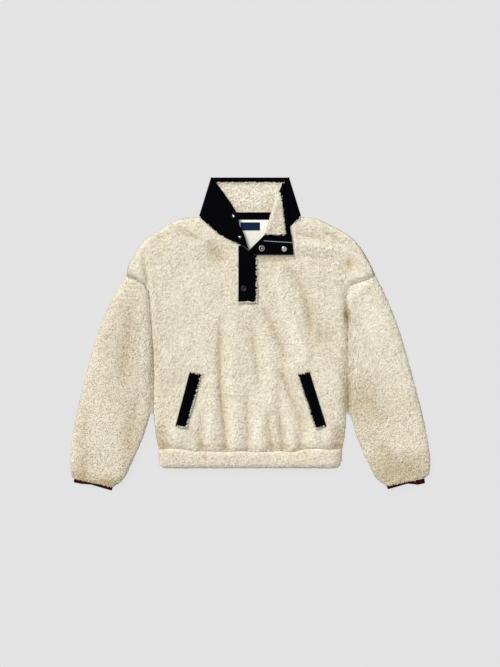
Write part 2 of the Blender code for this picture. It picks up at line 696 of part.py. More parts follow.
def trimmed(surface, normal, shares, first, last, turned, seam_share):
    """The part of the collar that the fleece lines: it stops at the band and the facing."""
    low = np.zeros(surface.shape[0])
    low[turned:] = seam_share
    low[turned - ROLL_STEPS:turned] = seam_share[0]
    high = 1.0 - FACING_SHARE
    lines, normals = [], []
    for index in range(first, last):
        at = np.linspace(min(low[index], high - 0.02), high, 5)
        lines.append(np.stack([np.interp(at, shares, surface[index, :, axis])
                               for axis in range(3)], axis=-1))
        normals.append(np.stack([np.interp(at, shares, normal[index, :, axis])
                                 for axis in range(3)], axis=-1))
    return np.array(lines), np.array(normals)


def plate(collection, name, plan, low, thickness, material):
    """A woven piece that lies on what is under it: its plan raised to low, then thickened."""
    under = np.concatenate([plan, np.broadcast_to(low, plan.shape[:2])[..., None]], axis=-1)
    return add_wall_piece(collection, name, under + (0.0, 0.0, thickness), under, material)


def spread(low_left, low_right, high_left, high_right, rows, columns):
    """Plan grid between four corners."""
    u = np.linspace(0.0, 1.0, columns)[None, :, None]
    v = np.linspace(0.0, 1.0, rows)[:, None, None]
    corners = [np.array(corner, float) for corner in (low_left, low_right, high_left, high_right)]
    return ((1 - v) * ((1 - u) * corners[0] + u * corners[1])
            + v * ((1 - u) * corners[2] + u * corners[3]))


def build_placket(collection, woven):
    columns = np.array(OVERLAP_TOP)
    shares = np.linspace(0.0, 1.0, 5)[:, None]
    y = PLACKET_BOTTOM + shares * (columns[:, 1] - PLACKET_BOTTOM)
    plan = np.stack([np.broadcast_to(columns[:, 0], y.shape), y], axis=-1)
    plate(collection, "placket_overlap", plan, BODY_LEVEL + GAP, WOVEN, woven)
    columns = np.array(UNDERLAP_TOP)
    y = UNDERLAP_BOTTOM + shares * (columns[:, 1] - UNDERLAP_BOTTOM)
    plan = np.stack([np.broadcast_to(columns[:, 0], y.shape), y], axis=-1)
    plate(collection, "placket_underlap", plan, BODY_LEVEL - WOVEN, WOVEN, woven)
    rows = np.array(TURNED_BAND)
    across = np.linspace(0.0, 1.0, 5)
    x = rows[:, 1:2] + (rows[:, 2:3] - rows[:, 1:2]) * across
    plan = np.stack([x, np.broadcast_to(rows[:, :1], x.shape)], axis=-1)
    plate(collection, "placket_band_turned", plan, turned_level(), WOVEN, woven)


def turned_level():
    """Underside of what lies on the turned-back collar."""
    return COLLAR_MIDDLE + FOLD_RADIUS + 2.0 * ROLL_RADIUS + 0.5 * GAP


def build_neck_trims(collection, woven, label):
    lying = FLEECE + GAP
    plate(collection, "neck_tape", spread((-TAPE_HALF, TAPE_LOW), (TAPE_HALF, TAPE_LOW),
                                          (-TAPE_HALF, TAPE_HIGH), (TAPE_HALF, TAPE_HIGH), 2, 9),
          lying, TAPE_THICK, woven)
    plate(collection, "neck_label", spread((LABEL_LEFT, LABEL_LOW), (LABEL_RIGHT, LABEL_LOW),
                                           (LABEL_LEFT, LABEL_HIGH), (LABEL_RIGHT, LABEL_HIGH),
                                           2, 4),
          lying, LABEL_THICK, label)


def height_finder(piece):
    """A function that gives the top of a piece at any place in plan."""
    mesh = piece.data
    tree = BVHTree.FromPolygons([vertex.co[:] for vertex in mesh.vertices],
                                [list(face.vertices) for face in mesh.polygons])

    def find(x, y):
        hit = tree.ray_cast(Vector((x * MM, y * MM, 1.0)), Vector((0.0, 0.0, -1.0)))
        return hit[0].z / MM
    return find


def build_welts(collection, woven, front):
    find = height_finder(front)
    for side, corners in WELTS.items():
        top_open, top_front, bottom_front, bottom_open = corners
        if side == "right":
            plan = spread(bottom_open, bottom_front, top_open, top_front, 13, 4)
        else:
            plan = spread(bottom_front, bottom_open, top_front, top_open, 13, 4)
        low = np.array([[find(*point) for point in row] for row in plan])
        plate(collection, f"pocket_welt_{side}", plan, low + WELT_LIFT, WELT_THICK, woven)


def turned_piece(collection, name, profile, place, material):
    """A turned piece: a profile from its axis over its top and down its outer side."""
    mesh = bpy.data.meshes.new(name)
    points = [(radius * MM, 0.0, height * MM) for radius, height in profile]
    mesh.from_pydata(points, [(i, i + 1) for i in range(len(points) - 1)], [])
    piece = bpy.data.objects.new(name, mesh)
    mesh.materials.append(material)
    collection.objects.link(piece)
    piece.location = Vector(place) * MM
    screw = piece.modifiers.new("turn", "SCREW")
    screw.axis = "Z"
    screw.steps = SNAP_STEPS
    screw.render_steps = SNAP_STEPS
    screw.use_merge_vertices = True
    screw.merge_threshold = 0.00001
    screw.use_smooth_shade = True
    return piece


def snap_profile(kind, radius, height):
    """Profiles of the four snap shapes, from the axis outwards and down to the base."""
    if kind == "socket":
        return ((0.0, 0.9), (0.42 * radius, 0.9), (0.48 * radius, height), (0.9 * radius, height),
                (radius, 0.55 * height), (radius, 0.0), (0.0, 0.0))
    if kind == "cap":
        return ((0.0, height), (0.45 * radius, 0.94 * height), (0.85 * radius, 0.68 * height),
                (radius, 0.3 * height), (radius, 0.0), (0.0, 0.0))
    if kind == "stud":
        return ((0.0, height), (0.36 * radius, 0.92 * height), (0.44 * radius, 0.4 * height),
                (radius, 0.3 * height), (radius, 0.0), (0.0, 0.0))
    return ((0.0, 0.8 * height), (0.6 * radius, 0.8 * height), (0.72 * radius, height),
            (0.92 * radius, 0.85 * height), (radius, 0.0), (0.0, 0.0))


def build_snaps(collection, steel, dark):
    on_turned = turned_level() + WOVEN + GAP
    on_collar = COLLAR_MIDDLE + FOLD_RADIUS + 0.5 * GAP + WOVEN + GAP
    on_overlap = BODY_LEVEL + GAP + WOVEN + GAP
    levels = {"socket": on_turned, "cap": on_turned, "stud": on_collar, "closed": on_overlap}
    for name, x, y, radius, height, kind in SNAPS:
        turned_piece(collection, name, snap_profile(kind, radius, height),
                     (x, y, levels[kind]), dark if kind == "closed" else steel)


def build_all():
    clear_scene()
    collection = bpy.data.collections.new(NAME)
    bpy.context.scene.collection.children.link(collection)
    fleece = make_material("sherpa_fleece", FLEECE_CREAM, 0.95)
    woven = make_material("navy_woven", WOVEN_NAVY, 0.7)
    binding = make_material("cuff_binding_red", BINDING_RED, 0.8)
    label = make_material("label_blue", LABEL_BLUE, 0.7)
    steel = make_material("snap_steel", SNAP_STEEL, 0.25, 1.0)
    dark = make_material("snap_dark", SNAP_DARK, 0.4, 0.6)
    front = build_front(collection, fleece)
    build_back(collection, fleece)
    build_sleeves(collection, fleece, binding)
    build_hem(collection, fleece)
    build_collar(collection, woven, fleece)
    build_placket(collection, woven)
    build_neck_trims(collection, woven, label)
    build_welts(collection, woven, front)
    build_snaps(collection, steel, dark)


build_all()
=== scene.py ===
"""Looks of a sherpa fleece pullover laid flat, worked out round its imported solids.

The file is laid out as an add-on. Each operator makes one piece or one group of like pieces.
Tables and named sizes are in millimetres, and MM turns them into metres. The back lies on
z = 0, the collar points to +Y and the wearer's left is at +X.
"""

import math

import bpy
import numpy as np
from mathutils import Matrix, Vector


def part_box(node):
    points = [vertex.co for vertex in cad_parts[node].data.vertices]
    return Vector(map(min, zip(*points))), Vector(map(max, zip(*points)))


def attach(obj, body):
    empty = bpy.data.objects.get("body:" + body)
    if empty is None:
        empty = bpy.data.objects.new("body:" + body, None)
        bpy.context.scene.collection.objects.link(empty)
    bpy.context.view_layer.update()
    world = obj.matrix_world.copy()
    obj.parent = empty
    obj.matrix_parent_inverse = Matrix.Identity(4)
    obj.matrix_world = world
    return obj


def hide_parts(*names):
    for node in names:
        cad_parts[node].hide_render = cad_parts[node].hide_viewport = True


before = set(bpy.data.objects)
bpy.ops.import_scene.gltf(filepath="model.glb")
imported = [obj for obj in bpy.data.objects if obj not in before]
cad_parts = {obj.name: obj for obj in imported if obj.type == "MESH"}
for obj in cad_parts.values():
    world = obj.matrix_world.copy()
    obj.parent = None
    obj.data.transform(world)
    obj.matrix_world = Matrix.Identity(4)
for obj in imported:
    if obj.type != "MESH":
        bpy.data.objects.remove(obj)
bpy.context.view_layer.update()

bl_info = {
    "name": "Sherpa Fleece Pullover",
    "version": (1, 0, 0),
    "blender": (4, 5, 0),
    "location": "3D View > Sidebar > Pullover",
    "description": "Makes the cloth, trims and snaps of a laid sherpa fleece pullover",
    "category": "Add Mesh",
}

MM = 0.001

# Cloth thicknesses and gaps
FLEECE = 6.0  # fleece measured over its pile
COLLAR_FLEECE = 4.0
WOVEN = 1.6  # woven trim cloth
GAP = 0.3  # seam gap between two pieces

# Levels of the laid body
SEAM_LEVEL = 7.0  # where front and back meet round the outline
BODY_LEVEL = 15.5  # top of the front where it lies flat
SLEEVE_LEVEL = 15.8
LOWEST_UNDER = 6.5  # the front's underside never goes lower than this
ROUND_TOP = 24.0  # how far in from a fold the top cloth reaches its level
ROUND_UNDER = 9.0  # the same for the cloth underneath
ON_OUTLINE = 0.05  # a point nearer than this to the outline lies on it

HEM_SEAM_Y = -271.5
NECK_HALF = 120.0  # shoulder point to the middle of the neck

# Placket, from its left edge to its right edge
PLACKET_LEFT = -27.6
PLACKET_RIGHT = 16.0
PLACKET_BOTTOM = 72.0
SLIT_MARGIN = 4.0  # how far each band laps over the cut edge of the front

# Collar fold radii, at the surface where the two collar cloths meet
FOLD_RADIUS = 6.0
COLLAR_MIDDLE = 7.75  # level half way between the collar's back and front
ROLL_RADIUS = 2.4
FACING_SHARE = 0.14  # share of the collar's height that the edge facing covers
BAND_SEAM_Y = 232.0  # top of the turned band

# Neck tape and label: x from, x to, y from, y to
TAPE = (-86.0, 86.0, 268.5, 285.5)
TAPE_THICK = 0.9
LABEL = (-22.0, 23.0, 243.0, 262.0)
LABEL_THICK = 0.7
WELT_THICK = 2.0
SNAP_RADIUS = 7.0
STUD_RADIUS = 4.6

# Side edges of the body, hem to shoulder end: y, x at the left, x at the right.
# The last step out is the armhole seam over the shoulder.
BODY_SIDES = (
    (-271.5, -215.5, 216.5),
    (-236, -222, 223),
    (-168, -228.5, 226.5),
    (-90, -230.5, 227.5),
    (8, -234.5, 226.5),
    (79, -238.5, 225),
    (116, -250.5, 229),
    (136, -291.5, 295.5),
)
FOLD_ROWS = 4  # rows of the table that are a closed side fold, the rest is armhole
SIDE_RUN_OUT = 3.0  # how far the side line would lean out without the armhole step

# Shoulder outline, neck to shoulder end: distance from the middle, y left, y right
SHOULDER = (
    (120, 274, 274),
    (157, 271, 269.5),
    (190, 257.5, 254),
    (212, 243, 243),
    (235, 229, 228.5),
    (254, 215, 209.5),
    (264, 200, 197),
    (271.5, 186, 184),
    (281, 170, 167),
    (288, 155, 153),
    (291.5, 136, 143),
    (295.5, 130, 136),
)

# Front neck seam, shoulder point to placket: distance from the middle, y left, y right
FRONT_NECK = (
    (0, 206, 190),
    (28, 209, 198),
    (48, 219, 211),
    (71, 231.5, 230),
    (96, 252, 252.5),
    (120, 274, 274),
)

# Back neck seam, in the same columns
BACK_NECK = (
    (0, 275, 275),
    (118, 275, 275),
    (120, 274, 274),
)

# Sleeves: outer line and inner line from the armhole to the cuff
SLEEVE_OUTER = {
    "right": ((-291.5, 136), (-327, 74), (-357, 1), (-386.5, -101), (-407, -185),
              (-420, -260), (-424, -305), (-422, -331), (-415.5, -342)),
    "left": ((295.5, 136), (326, 72), (353, 1), (379, -90), (404, -185),
             (419, -260), (424, -305), (420.5, -331), (411, -340)),
}
SLEEVE_INNER = {
    "right": ((-231, -90.4), (-232, -168), (-240, -205), (-254, -248),
              (-276, -298), (-300, -344), (-322.5, -361.5)),
    "left": ((228, -90.4), (229.5, -168), (240, -205), (253, -248),
             (275, -298), (299, -342), (321, -358.6)),
}

# Creases and soft ridges of the laid cloth. Each is a line of points:
# x, y, half width, height (a trough is negative)
CREASES = (
    # armholes, right and left, and the pinch over the left one
    ((-252, 196, 7.1, 0), (-247, 168, 7.1, -3), (-242, 114, 7.1, -5), (-235, 8, 8, -6.2),
     (-231, -74, 8, -6.2), (-232, -145, 7.5, -5.2), (-235, -180, 7.1, -4)),
    ((232, 112, 6.1, 0), (226, 88, 6.6, -2), (227, 60, 6.6, -3.5), (227, 41, 7.1, -5.5),
     (229, 27, 7.1, -4.5), (230, -1, 8, -2.6), (228, -74, 8, -2.8), (228, -145, 8, -4),
     (228, -180, 7.1, -4)),
    ((235, 182, 6.1, 0), (235, 163, 8, -3.6), (235, 145, 6.1, 0)),
    # drop shoulder seams and the sleeve heads below them
    ((-292, 137, 3.1, -2.4), (-271, 129, 3.1, -2.4), (-252, 123, 3.5, -2.6)),
    ((-292, 127, 7.1, 1.2), (-266, 116, 7.5, 1.6), (-254, 98, 7.1, 0.6)),
    ((296, 134, 3.1, -2.4), (263, 122, 3.1, -2.4), (235, 112, 3.5, -2.4)),
    ((286, 119, 9.4, 1.6), (260, 102, 11.8, 2.4), (242, 79, 11.8, 2), (237, 55, 9.4, 0)),
    # creases of the right shoulder, down to the hollow under the collar
    ((-193, 257, 6.1, 0), (-179, 250, 6.6, -2), (-155, 234, 7.1, -2.8), (-127, 222, 7.1, -1.8),
     (-108, 213, 6.6, 0)),
    ((-240, 210, 9.4, 0), (-212, 224, 9.4, -1.6), (-188, 236, 9.4, 0)),
    ((-106, 216, 12, 0), (-92, 200, 14, -2.6), (-72, 180, 15, -2.8), (-52, 165, 14, 0)),
    # creases of the left shoulder, down to the hollow under the turned band
    ((103, 239, 5.6, 0), (129, 229, 6.1, -2.4), (155, 224, 6.1, -1.6), (169, 224, 5.6, 0)),
    ((169, 241, 5.6, 0), (190, 229, 6.1, -2.6), (213, 213, 6.1, -1.8), (230, 199, 5.6, 0)),
    ((108, 213, 10.6, 0), (141, 206, 10.6, 2), (188, 199, 10.6, 2), (218, 192, 10.6, 0)),
    ((98, 187, 5.2, 0), (129, 182, 5.6, -1.6), (176, 175, 5.6, -1), (199, 168, 5.2, 0)),
    ((14, 175, 9.4, 0), (37, 170, 10.6, -2.4), (75, 170, 10.6, -2.4), (103, 175, 9.4, 0)),
    # troughs and ridges that fall from the placket and the chest
    ((-65, 51, 8.9, 0), (-70, -15, 8.9, -2.8), (-69, -114, 8.2, -3.8), (-61, -203, 8.9, -4),
     (-56, -267, 10.6, -3.2)),
    ((-85, -4, 14.1, 0), (-87, -133, 14.1, 0.8), (-90, -231, 11.8, 2), (-90, -264, 11.8, 1)),
    ((-36, 36, 14.1, 0), (-38, -27, 14.1, 1.6), (-36, -156, 14.1, 1.6), (-33, -250, 14.1, 2.2)),
    ((0, 46, 10, 0), (9, -11, 10, -2.4), (16, -67, 10, -2.6), (21, -128, 10, -1.6),
     (22, -156, 10, 0)),
    ((-2, -121, 8.2, 0), (-5, -180, 8.9, -2.4), (-5, -267, 10, -2.8)),
    ((28, 20, 14.1, 0), (49, -62, 14.1, 1.8), (51, -137, 14.1, 1.4), (25, -215, 14.1, 1.6),
     (23, -255, 14.1, 1.8)),
    ((28, 74, 8.9, 0), (42, 43, 9.4, -3), (61, 1, 9.4, -3.6), (82, -53, 9.4, -3.2),
     (91, -76, 9.4, 0)),
    ((72, -72, 8.2, 0), (82, -109, 8.9, -3.2), (101, -156, 9.4, -3.6), (122, -206, 10, -2.6),
     (131, -236, 10, 0)),
    ((61, 140, 16.4, 0), (84, 79, 16.4, 2.4), (110, 8, 14.1, 2.8), (129, -51, 14.1, 2.8),
     (119, -86, 14.1, 0)),
    ((82, 159, 8, 0), (103, 137, 8.9, -2.6), (124, 102, 9.9, -3.6), (138, 55, 11.3, -3.6),
     (143, 22, 12.9, -2.6), (138, -15, 14.1, 0)),
    ((136, 13, 18.8, 0), (176, -11, 21.2, -2.2), (206, -43, 21.2, 0)),
    # gathers and bulges over the hem seam
    ((68, -114, 8.2, 0), (70, -180, 8.2, -2.2), (77, -267, 9.4, -3.2)),
    ((37, -152, 8.2, 0), (42, -192, 8.2, -2), (51, -267, 9.4, -3)),
    ((-111, -168, 8.9, 0), (-113, -227, 9.4, -1.8), (-113, -267, 10.6, -3.2)),
    ((119, -215, 8.9, 0), (122, -246, 8.9, -1.8), (119, -267, 9.4, -2.8)),
    ((-212, -199, 14.8, 0), (-212, -243, 17.6, -2.8), (-202, -267, 17.6, -2.4)),
    ((206, -199, 14.8, 0), (211, -243, 17.6, -2.8), (204, -267, 17.6, -2.2)),
    ((-172, -184, 21.2, 0), (-170, -241, 21.2, 2.2), (-170, -264, 18.8, 0.6)),
    ((94, -184, 9.4, 0), (96, -227, 9.4, 1.8), (98, -264, 9.4, 1)),
    ((150, -194, 14.1, 0), (150, -241, 14.1, 2), (150, -264, 14.1, 1)),
    ((183, -199, 11.8, 0), (183, -241, 11.8, 1.6), (183, -264, 11.8, 0.8)),
    # sleeves, right and left
    ((-285, 79, 11.8, 0), (-282, 8, 14.1, -1.8), (-296, -74, 16.4, -2), (-301, -128, 16.4, 0)),
    ((-264, -121, 11.8, 0), (-266, -168, 11.8, -1.8), (-280, -250, 14.1, -2),
     (-292, -321, 14.1, 0)),
    ((-339, -27, 21.2, 0), (-343, -133, 23.5, 1.6), (-351, -227, 23.5, 1.2),
     (-353, -293, 21.2, 0)),
    ((-381, -269, 11.8, 0), (-388, -311, 11.8, -2), (-390, -349, 11.8, -2)),
    ((258, -90, 18.8, 0), (272, -145, 21.2, -2.4), (296, -180, 21.2, -1.8), (315, -222, 21.2, 0)),
    ((310, -250, 14.1, 0), (319, -278, 14.1, -1.8), (336, -307, 14.1, 0)),
    ((284, 79, 21.2, 0), (298, 27, 23.5, 1.4), (319, -39, 23.5, 0)),
    # hem band
    ((-106, -276, 3.5, 0), (-104, -290, 4, -2.4), (-101, -309, 3.5, 0)),
    ((124, -272, 3.5, -1), (131, -284, 4, -2.8), (143, -307, 3.5, 0)),
    ((20, -272, 6, 1.2), (22, -288, 8, 1.4), (24, -306, 6, 0)),
)

# Bottoms of the armhole seams' valleys, where pile from both sides meets: x, y, level
ARMHOLES = (
    ((-243.5, 104, 9.5), (-240.7, 90, 9.5), (-234.7, 8, 9.5), (-231.4, -74, 9.5),
     (-230.3, -145, 9.5), (-231, -188, 9)),
    ((228, 104, 9.5), (225.9, 90, 9.5), (226.8, 8, 9.5), (227.8, -74, 9.5),
     (227.7, -145, 9.5), (230, -188, 9)),
)

# Places where trims lie, so the fleece under them stays flat: x from, x to, y from, y to
QUIET = (
    (-27, 16, 72, 210),
    (-4, 106, 184, 262),
    (-110, -20, 225, 330),
)
QUIET_RAMP = 5.0  # how far past a trim the fleece comes back to its own lie

# Collar. Each station is a line across it, from the neck seam to the top edge.
COLLAR_LEFT_FRONT = (
    ((-3, 197.6), (-8.2, 212), (-12.6, 228), (-19, 244), (-25.5, 255), (-27, 268),
     (-34.4, 289)),
    ((-23.6, 210.2), (-45.5, 307)),
    ((-47.7, 219.6), (-55, 320.5)),
    ((-71.8, 232.6), (-64.5, 334)),
    ((-95.9, 252.6), (-78, 352)),
    ((-112.6, 268.4), (-85.5, 365.8)),
)
COLLAR_LEFT_TIP = ((-118.6, 276.6), (-90.6, 367.4))
COLLAR_BACK = (
    ((-112.6, 277), (-84.6, 367.8)),
    ((-75, 276), (-56, 367.8)),
    ((-38, 275.6), (-28, 367.8)),
    ((0, 275.6), (0, 367.8)),
    ((38, 275.6), (28, 367.8)),
    ((75, 276), (56, 367.8)),
    ((112.2, 277), (84.2, 367.8)),
)
COLLAR_RIGHT_TIP = ((118.2, 276.6), (90.2, 367.4))
COLLAR_RIGHT_FOLD = ((112.2, 268.6), (85.2, 365.8))
COLLAR_RIGHT_SEAM = ((93, 250.4), (66, 226.6), (39, 205.8), (12, 194.4))
COLLAR_ROLL = ((3.5, 193), (38.5, 228.5), (61, 300), (79.5, 352.5))
COLLAR_TURNED_EDGE = ((1.5, 184.6), (102.4, 184.6))
ROLL_OUT = (-0.886, 0.463)  # the way the roll bulges

# Pocket welts: corners at the top opening side, top front side, bottom front side,
# bottom opening side
WELTS = {
    "right": ((-142, -90), (-113.5, -94.5), (-149.5, -222), (-175.5, -217.5)),
    "left": ((139, -89), (111, -95.5), (153.5, -224.5), (179, -217.5)),
}
WELT_LIFT = 0.6

# Placket bands: x and the height of their top edge there
OVERLAP_TOP = ((-27.6, 207), (-16, 204.3), (-5.5, 197.5), (-4.4, 184), (6, 184),
               (16, 184))
UNDERLAP_TOP = ((-21, 207), (-12, 201.5), (-4.5, 196.5), (1.5, 188), (9, 188))
UNDERLAP_BOTTOM = 90.0

# Hem band, seam to folded edge: y, x at the left, x at the right, level
HEM_BAND = (
    (-271.9, -214.5, 215.5, 12.6),
    (-275, -215, 215.8, 16),
    (-280, -215.5, 216, 17.4),
    (-290, -215.2, 215.6, 17.8),
    (-298, -214.5, 214.5, 17.6),
    (-306, -213, 212.7, 16.9),
    (-311, -211, 210.4, 15.6),
    (-314.5, -208, 207, 13.6),
    (-317, -203, 202, 10.4),
)
HEM_WALL = 6.2

# Turned band, the inside of the front band: y, x at the roll, x at the collar's top edge
TURNED_BAND = (
    (184.8, -3, 102),
    (195, -3.2, 101.2),
    (213, 15, 99.4),
    (231.6, 33.5, 97.4),
)
EDGE_THREAD = ((32, 217.5), (62, 215.4), (99, 213.2))  # pale line along the turned band

# Cuff binding, outer end to inner end of the cuff: depth past the sleeve
CUFF_DEPTHS = {"right": (8.2, 8.8), "left": (12.4, 8.6)}
CUFF_DROP = 3.2  # how much lower the sleeve lies at its cuff

# Snaps: node, x, y, radius, height, kind
SNAPS = (
    ("snap_socket", 27.2, 199.8, SNAP_RADIUS, 2.2, "socket"),
    ("snap_cap", 80, 198, SNAP_RADIUS, 2.6, "cap"),
    ("snap_stud_lower", -24.2, 226.5, STUD_RADIUS, 2.4, "stud"),
    ("snap_stud_upper", -39, 275.5, STUD_RADIUS, 2.4, "stud"),
    ("snap_closed", -15, 105.5, SNAP_RADIUS, 2, "closed"),
)

CREASE_LIFT = 1.5  # the front's creases are this much deeper than the table's
# Painted shade on the pile in the creases' troughs, with 0.35 of it as painted light on their
# ridges, and painted shade low down at the rims
CREASE_PAINTED_SHADE = 0.062  # change of the pile's tone for one millimetre of a crease
RIM_PAINTED_SHADE = 0.20  # how much darker the pile is low down at the rims
RIM_SHADE_LEVEL = 11.0
# Patches of painted light and shade on the pile: x, y, reach in x, reach in y, change (below 0
# painted shade, above 0 painted light)
PAINTED_SHADE_PATCHES = (
    (-330, -60, 100, 270, -0.09),
    (-294, -27, 28, 110, -0.06),
    (-289, -250, 22, 80, -0.09),
    (-397, -220, 16, 90, -0.11),
    (-411, -332, 28, 24, -0.25),
    (-347, -352, 48, 17, -0.34),
    (275, 55, 48, 110, 0.05),
    (300, -190, 85, 85, -0.10),
    (346, -325, 85, 42, -0.33),
    (250, -190, 12, 60, -0.12),
    (185, -25, 42, 50, -0.05),
    (146, 32, 20, 42, -0.07),
    (-206, -244, 20, 26, -0.10),
    (211, -244, 16, 26, -0.12),
    (-78, 188, 24, 34, -0.11),
    (-195, -145, 42, 55, -0.05),
    (-247, 215, 42, 18, -0.05),
    (229, 41, 8, 17, -0.30),
    (232, 162, 9, 12, -0.16),
    (235, -145, 9, 62, -0.18),
    (-244, 100, 10, 75, 0.24),
    (-237, -5, 10, 90, 0.28),
    (-234, -135, 9, 65, 0.24),
    (0, 330, 95, 42, 0.22),
    (228, -60, 8, 55, 0.12),
    (229, 100, 8, 30, 0.08),
    (40, 262, 10, 50, -0.08),
    (-113, -264, 15, 6, -0.24),
    (-66, -264, 14, 6, -0.26),
    (51, -264, 13, 6, -0.22),
    (84, -264, 15, 6, -0.24),
    (124, -262, 12, 6, -0.20),
    (-205, -262, 22, 7, -0.22),
    (203, -262, 20, 7, -0.22),
    (14, -264, 9, 5, -0.12),
    (-158, -264, 12, 5, -0.08),
)


def colour_value(name, description, default):
    return bpy.props.FloatVectorProperty(name=name, description=description, size=3,
                                         default=default, subtype="COLOR")


def length_value(name, description, default):
    return bpy.props.FloatProperty(name=name, description=description, default=default,
                                   unit="LENGTH")


class PULLOVER_PG_fleece(bpy.types.PropertyGroup):
    """Sizes and colours of the sherpa fleece."""
    curl_size: length_value("Curl size", "Distance between two curls of the pile", 3.4 * MM)
    curl_depth: length_value("Curl depth", "Height of a curl over the pile's roots", 1.05 * MM)
    tip_colour: colour_value("Tip colour", "Colour of the curls' tips", (0.96, 0.905, 0.765))
    # Painted shade between the curls: low pile takes this darker root colour
    root_shade_colour: colour_value("Root colour", "Colour between the curls", (0.55, 0.46, 0.31))
    backing_colour: colour_value("Backing colour", "Colour of the fleece's inner side",
                                 (0.93, 0.90, 0.81))


class PULLOVER_PG_trims(bpy.types.PropertyGroup):
    """Sizes and colours of the woven trims, the label and the cuff bindings."""
    woven_colour: colour_value("Woven colour", "Colour of collar, placket and welts",
                               (0.0014, 0.0012, 0.0026))
    thread_colour: colour_value("Thread colour", "Colour of the topstitching",
                                (0.004, 0.004, 0.009))
    edge_colour: colour_value("Edge thread colour", "Colour of the pale line on the turned band",
                              (0.42, 0.42, 0.44))
    label_colour: colour_value("Label colour", "Colour of the plain neck label",
                               (0.010, 0.022, 0.060))
    binding_colour: colour_value("Binding colour", "Colour of the bound cuff edges",
                                 (0.042, 0.0035, 0.0045))
    weave_pitch: length_value("Weave pitch", "Distance between two ribs of the weave", 0.9 * MM)
    stitch_length: length_value("Stitch length", "Distance between two topstitches", 3.0 * MM)


class PULLOVER_PG_snaps(bpy.types.PropertyGroup):
    """Colours of the snaps."""
    steel_colour: colour_value("Steel colour", "Colour of the bright snaps", (0.78, 0.77, 0.75))
    # The enamel colour is the closed snap's own colour, and also the painted shade on the bright
    # snaps
    dark_colour: colour_value("Enamel colour", "Colour of the closed snap", (0.006, 0.007, 0.018))


class PULLOVER_PG_stage(bpy.types.PropertyGroup):
    """Floor, lights and camera."""
    floor_size: length_value("Floor size", "Side of the floor", 14.0)
    camera_height: length_value("Camera height", "Height of the camera over the surface", 3.7165)
    lens: bpy.props.FloatProperty(
        name="Lens", description="Focal length of the camera in millimetres", default=85.0)


# --- curves and lines

def soft_curve(at, knots, values):
    """Smooth curve through a table's points, without overshoot.

    Each piece is a cubic between two knots. Its slope at a knot is the harmonic mean of the
    chords on both sides, and 0 where they turn, and the end slopes are the end chords'.
    """
    knots, values = np.asarray(knots, float), np.asarray(values, float)
    flat = values.ndim == 1
    values = values[:, None] if flat else values
    chord = np.diff(values, axis=0) / np.diff(knots)[:, None]
    product = chord[:-1] * chord[1:]
    total = chord[:-1] + chord[1:]
    inner = np.where(product > 0, 2.0 * product / np.where(product > 0, total, 1.0), 0.0)
    slope = np.concatenate([chord[:1], inner, chord[-1:]])
    at = np.clip(np.asarray(at, float), knots[0], knots[-1])
    piece = np.clip(np.searchsorted(knots, at, side="right") - 1, 0, len(knots) - 2)
    width = (knots[piece + 1] - knots[piece])[..., None]
    share = (at - knots[piece])[..., None] / width
    out = (values[piece] * (1 + 2 * share) * (1 - share) ** 2
           + values[piece + 1] * share ** 2 * (3 - 2 * share)
           + slope[piece] * width * share * (1 - share) ** 2
           - slope[piece + 1] * width * share ** 2 * (1 - share))
    return out[..., 0] if flat else out


def unit(vectors):
    """The vectors, each made one long."""
    return vectors / np.maximum(np.linalg.norm(vectors, axis=-1, keepdims=True), 1e-9)


def step_lengths(line):
    """Lengths of the steps between a line's points, or between a grid's rows."""
    return np.linalg.norm(np.diff(line, axis=0), axis=-1)


def table_curve(table, key, at):
    """Values of one column of a table at places along its first column, on a soft curve."""
    rows = np.array(table, float)
    return soft_curve(at, rows[:, 0], rows[:, key])


def resample(line, shares):
    """Points at the given shares of a line's length, on a soft curve through its points."""
    line = np.array(line, float)
    steps = step_lengths(line)
    along = np.concatenate([[0.0], np.cumsum(steps)]) / steps.sum()
    return soft_curve(shares, along, line)


def nearest_on_line(plan, line):
    """Distance from each plan point to a line, the unit direction away from it, and the line's
    further columns at the nearest point."""
    line = np.array(line, float)
    best = np.full(plan.shape[:-1], np.inf)
    away = np.zeros(plan.shape)
    extra = np.zeros(plan.shape[:-1] + (line.shape[1] - 2,))
    for start, end in zip(line[:-1], line[1:]):
        run = end[:2] - start[:2]
        share = np.clip(((plan - start[:2]) @ run) / (run @ run), 0.0, 1.0)[..., None]
        offset = plan - (start[:2] + share * run)
        distance = np.linalg.norm(offset, axis=-1)
        nearer = distance < best
        best = np.where(nearer, distance, best)
        away = np.where(nearer[..., None], offset, away)
        extra = np.where(nearer[..., None], start[2:] + share * (end[2:] - start[2:]), extra)
    return best, away / np.maximum(best, 1e-6)[..., None], extra


def rounded(distance, reach):
    """0 at a fold, 1 from reach inwards, along a quarter of an ellipse."""
    share = np.clip(distance / reach, 0.0, 1.0)
    return np.sqrt(np.maximum(1.0 - (1.0 - share) ** 2, 0.0))


def smooth_step(value):
    """0 below 0, 1 above 1, with level ends."""
    value = np.clip(value, 0.0, 1.0)
    return value * value * (3.0 - 2.0 * value)


def crowded(count):
    """Shares from 0 to 1 that lie closer together towards 1."""
    even = np.linspace(0.0, 1.0, count + 1)
    return 0.7 * even + 0.3 * np.sin(0.5 * np.pi * even)


def crowded_both(count):
    """Shares from 0 to 1 that lie closer together towards both ends."""
    even = np.linspace(0.0, 1.0, count + 1)
    return 0.7 * even + 0.15 * (1.0 - np.cos(np.pi * even))


# --- repeatable noise

def cell_random(cells, seed):
    """A repeatable number from 0 to 1 for every whole-numbered cell, by mixing its numbers."""
    mixed = np.full(cells.shape[:-1], seed, np.uint64)
    for axis in range(cells.shape[-1]):
        mixed = (mixed ^ cells[..., axis].astype(np.int64).view(np.uint64)) \
            * np.uint64(0x9E3779B97F4A7C15)
        mixed = mixed ^ (mixed >> np.uint64(29))
    return (mixed >> np.uint64(40)).astype(float) / 2.0 ** 24


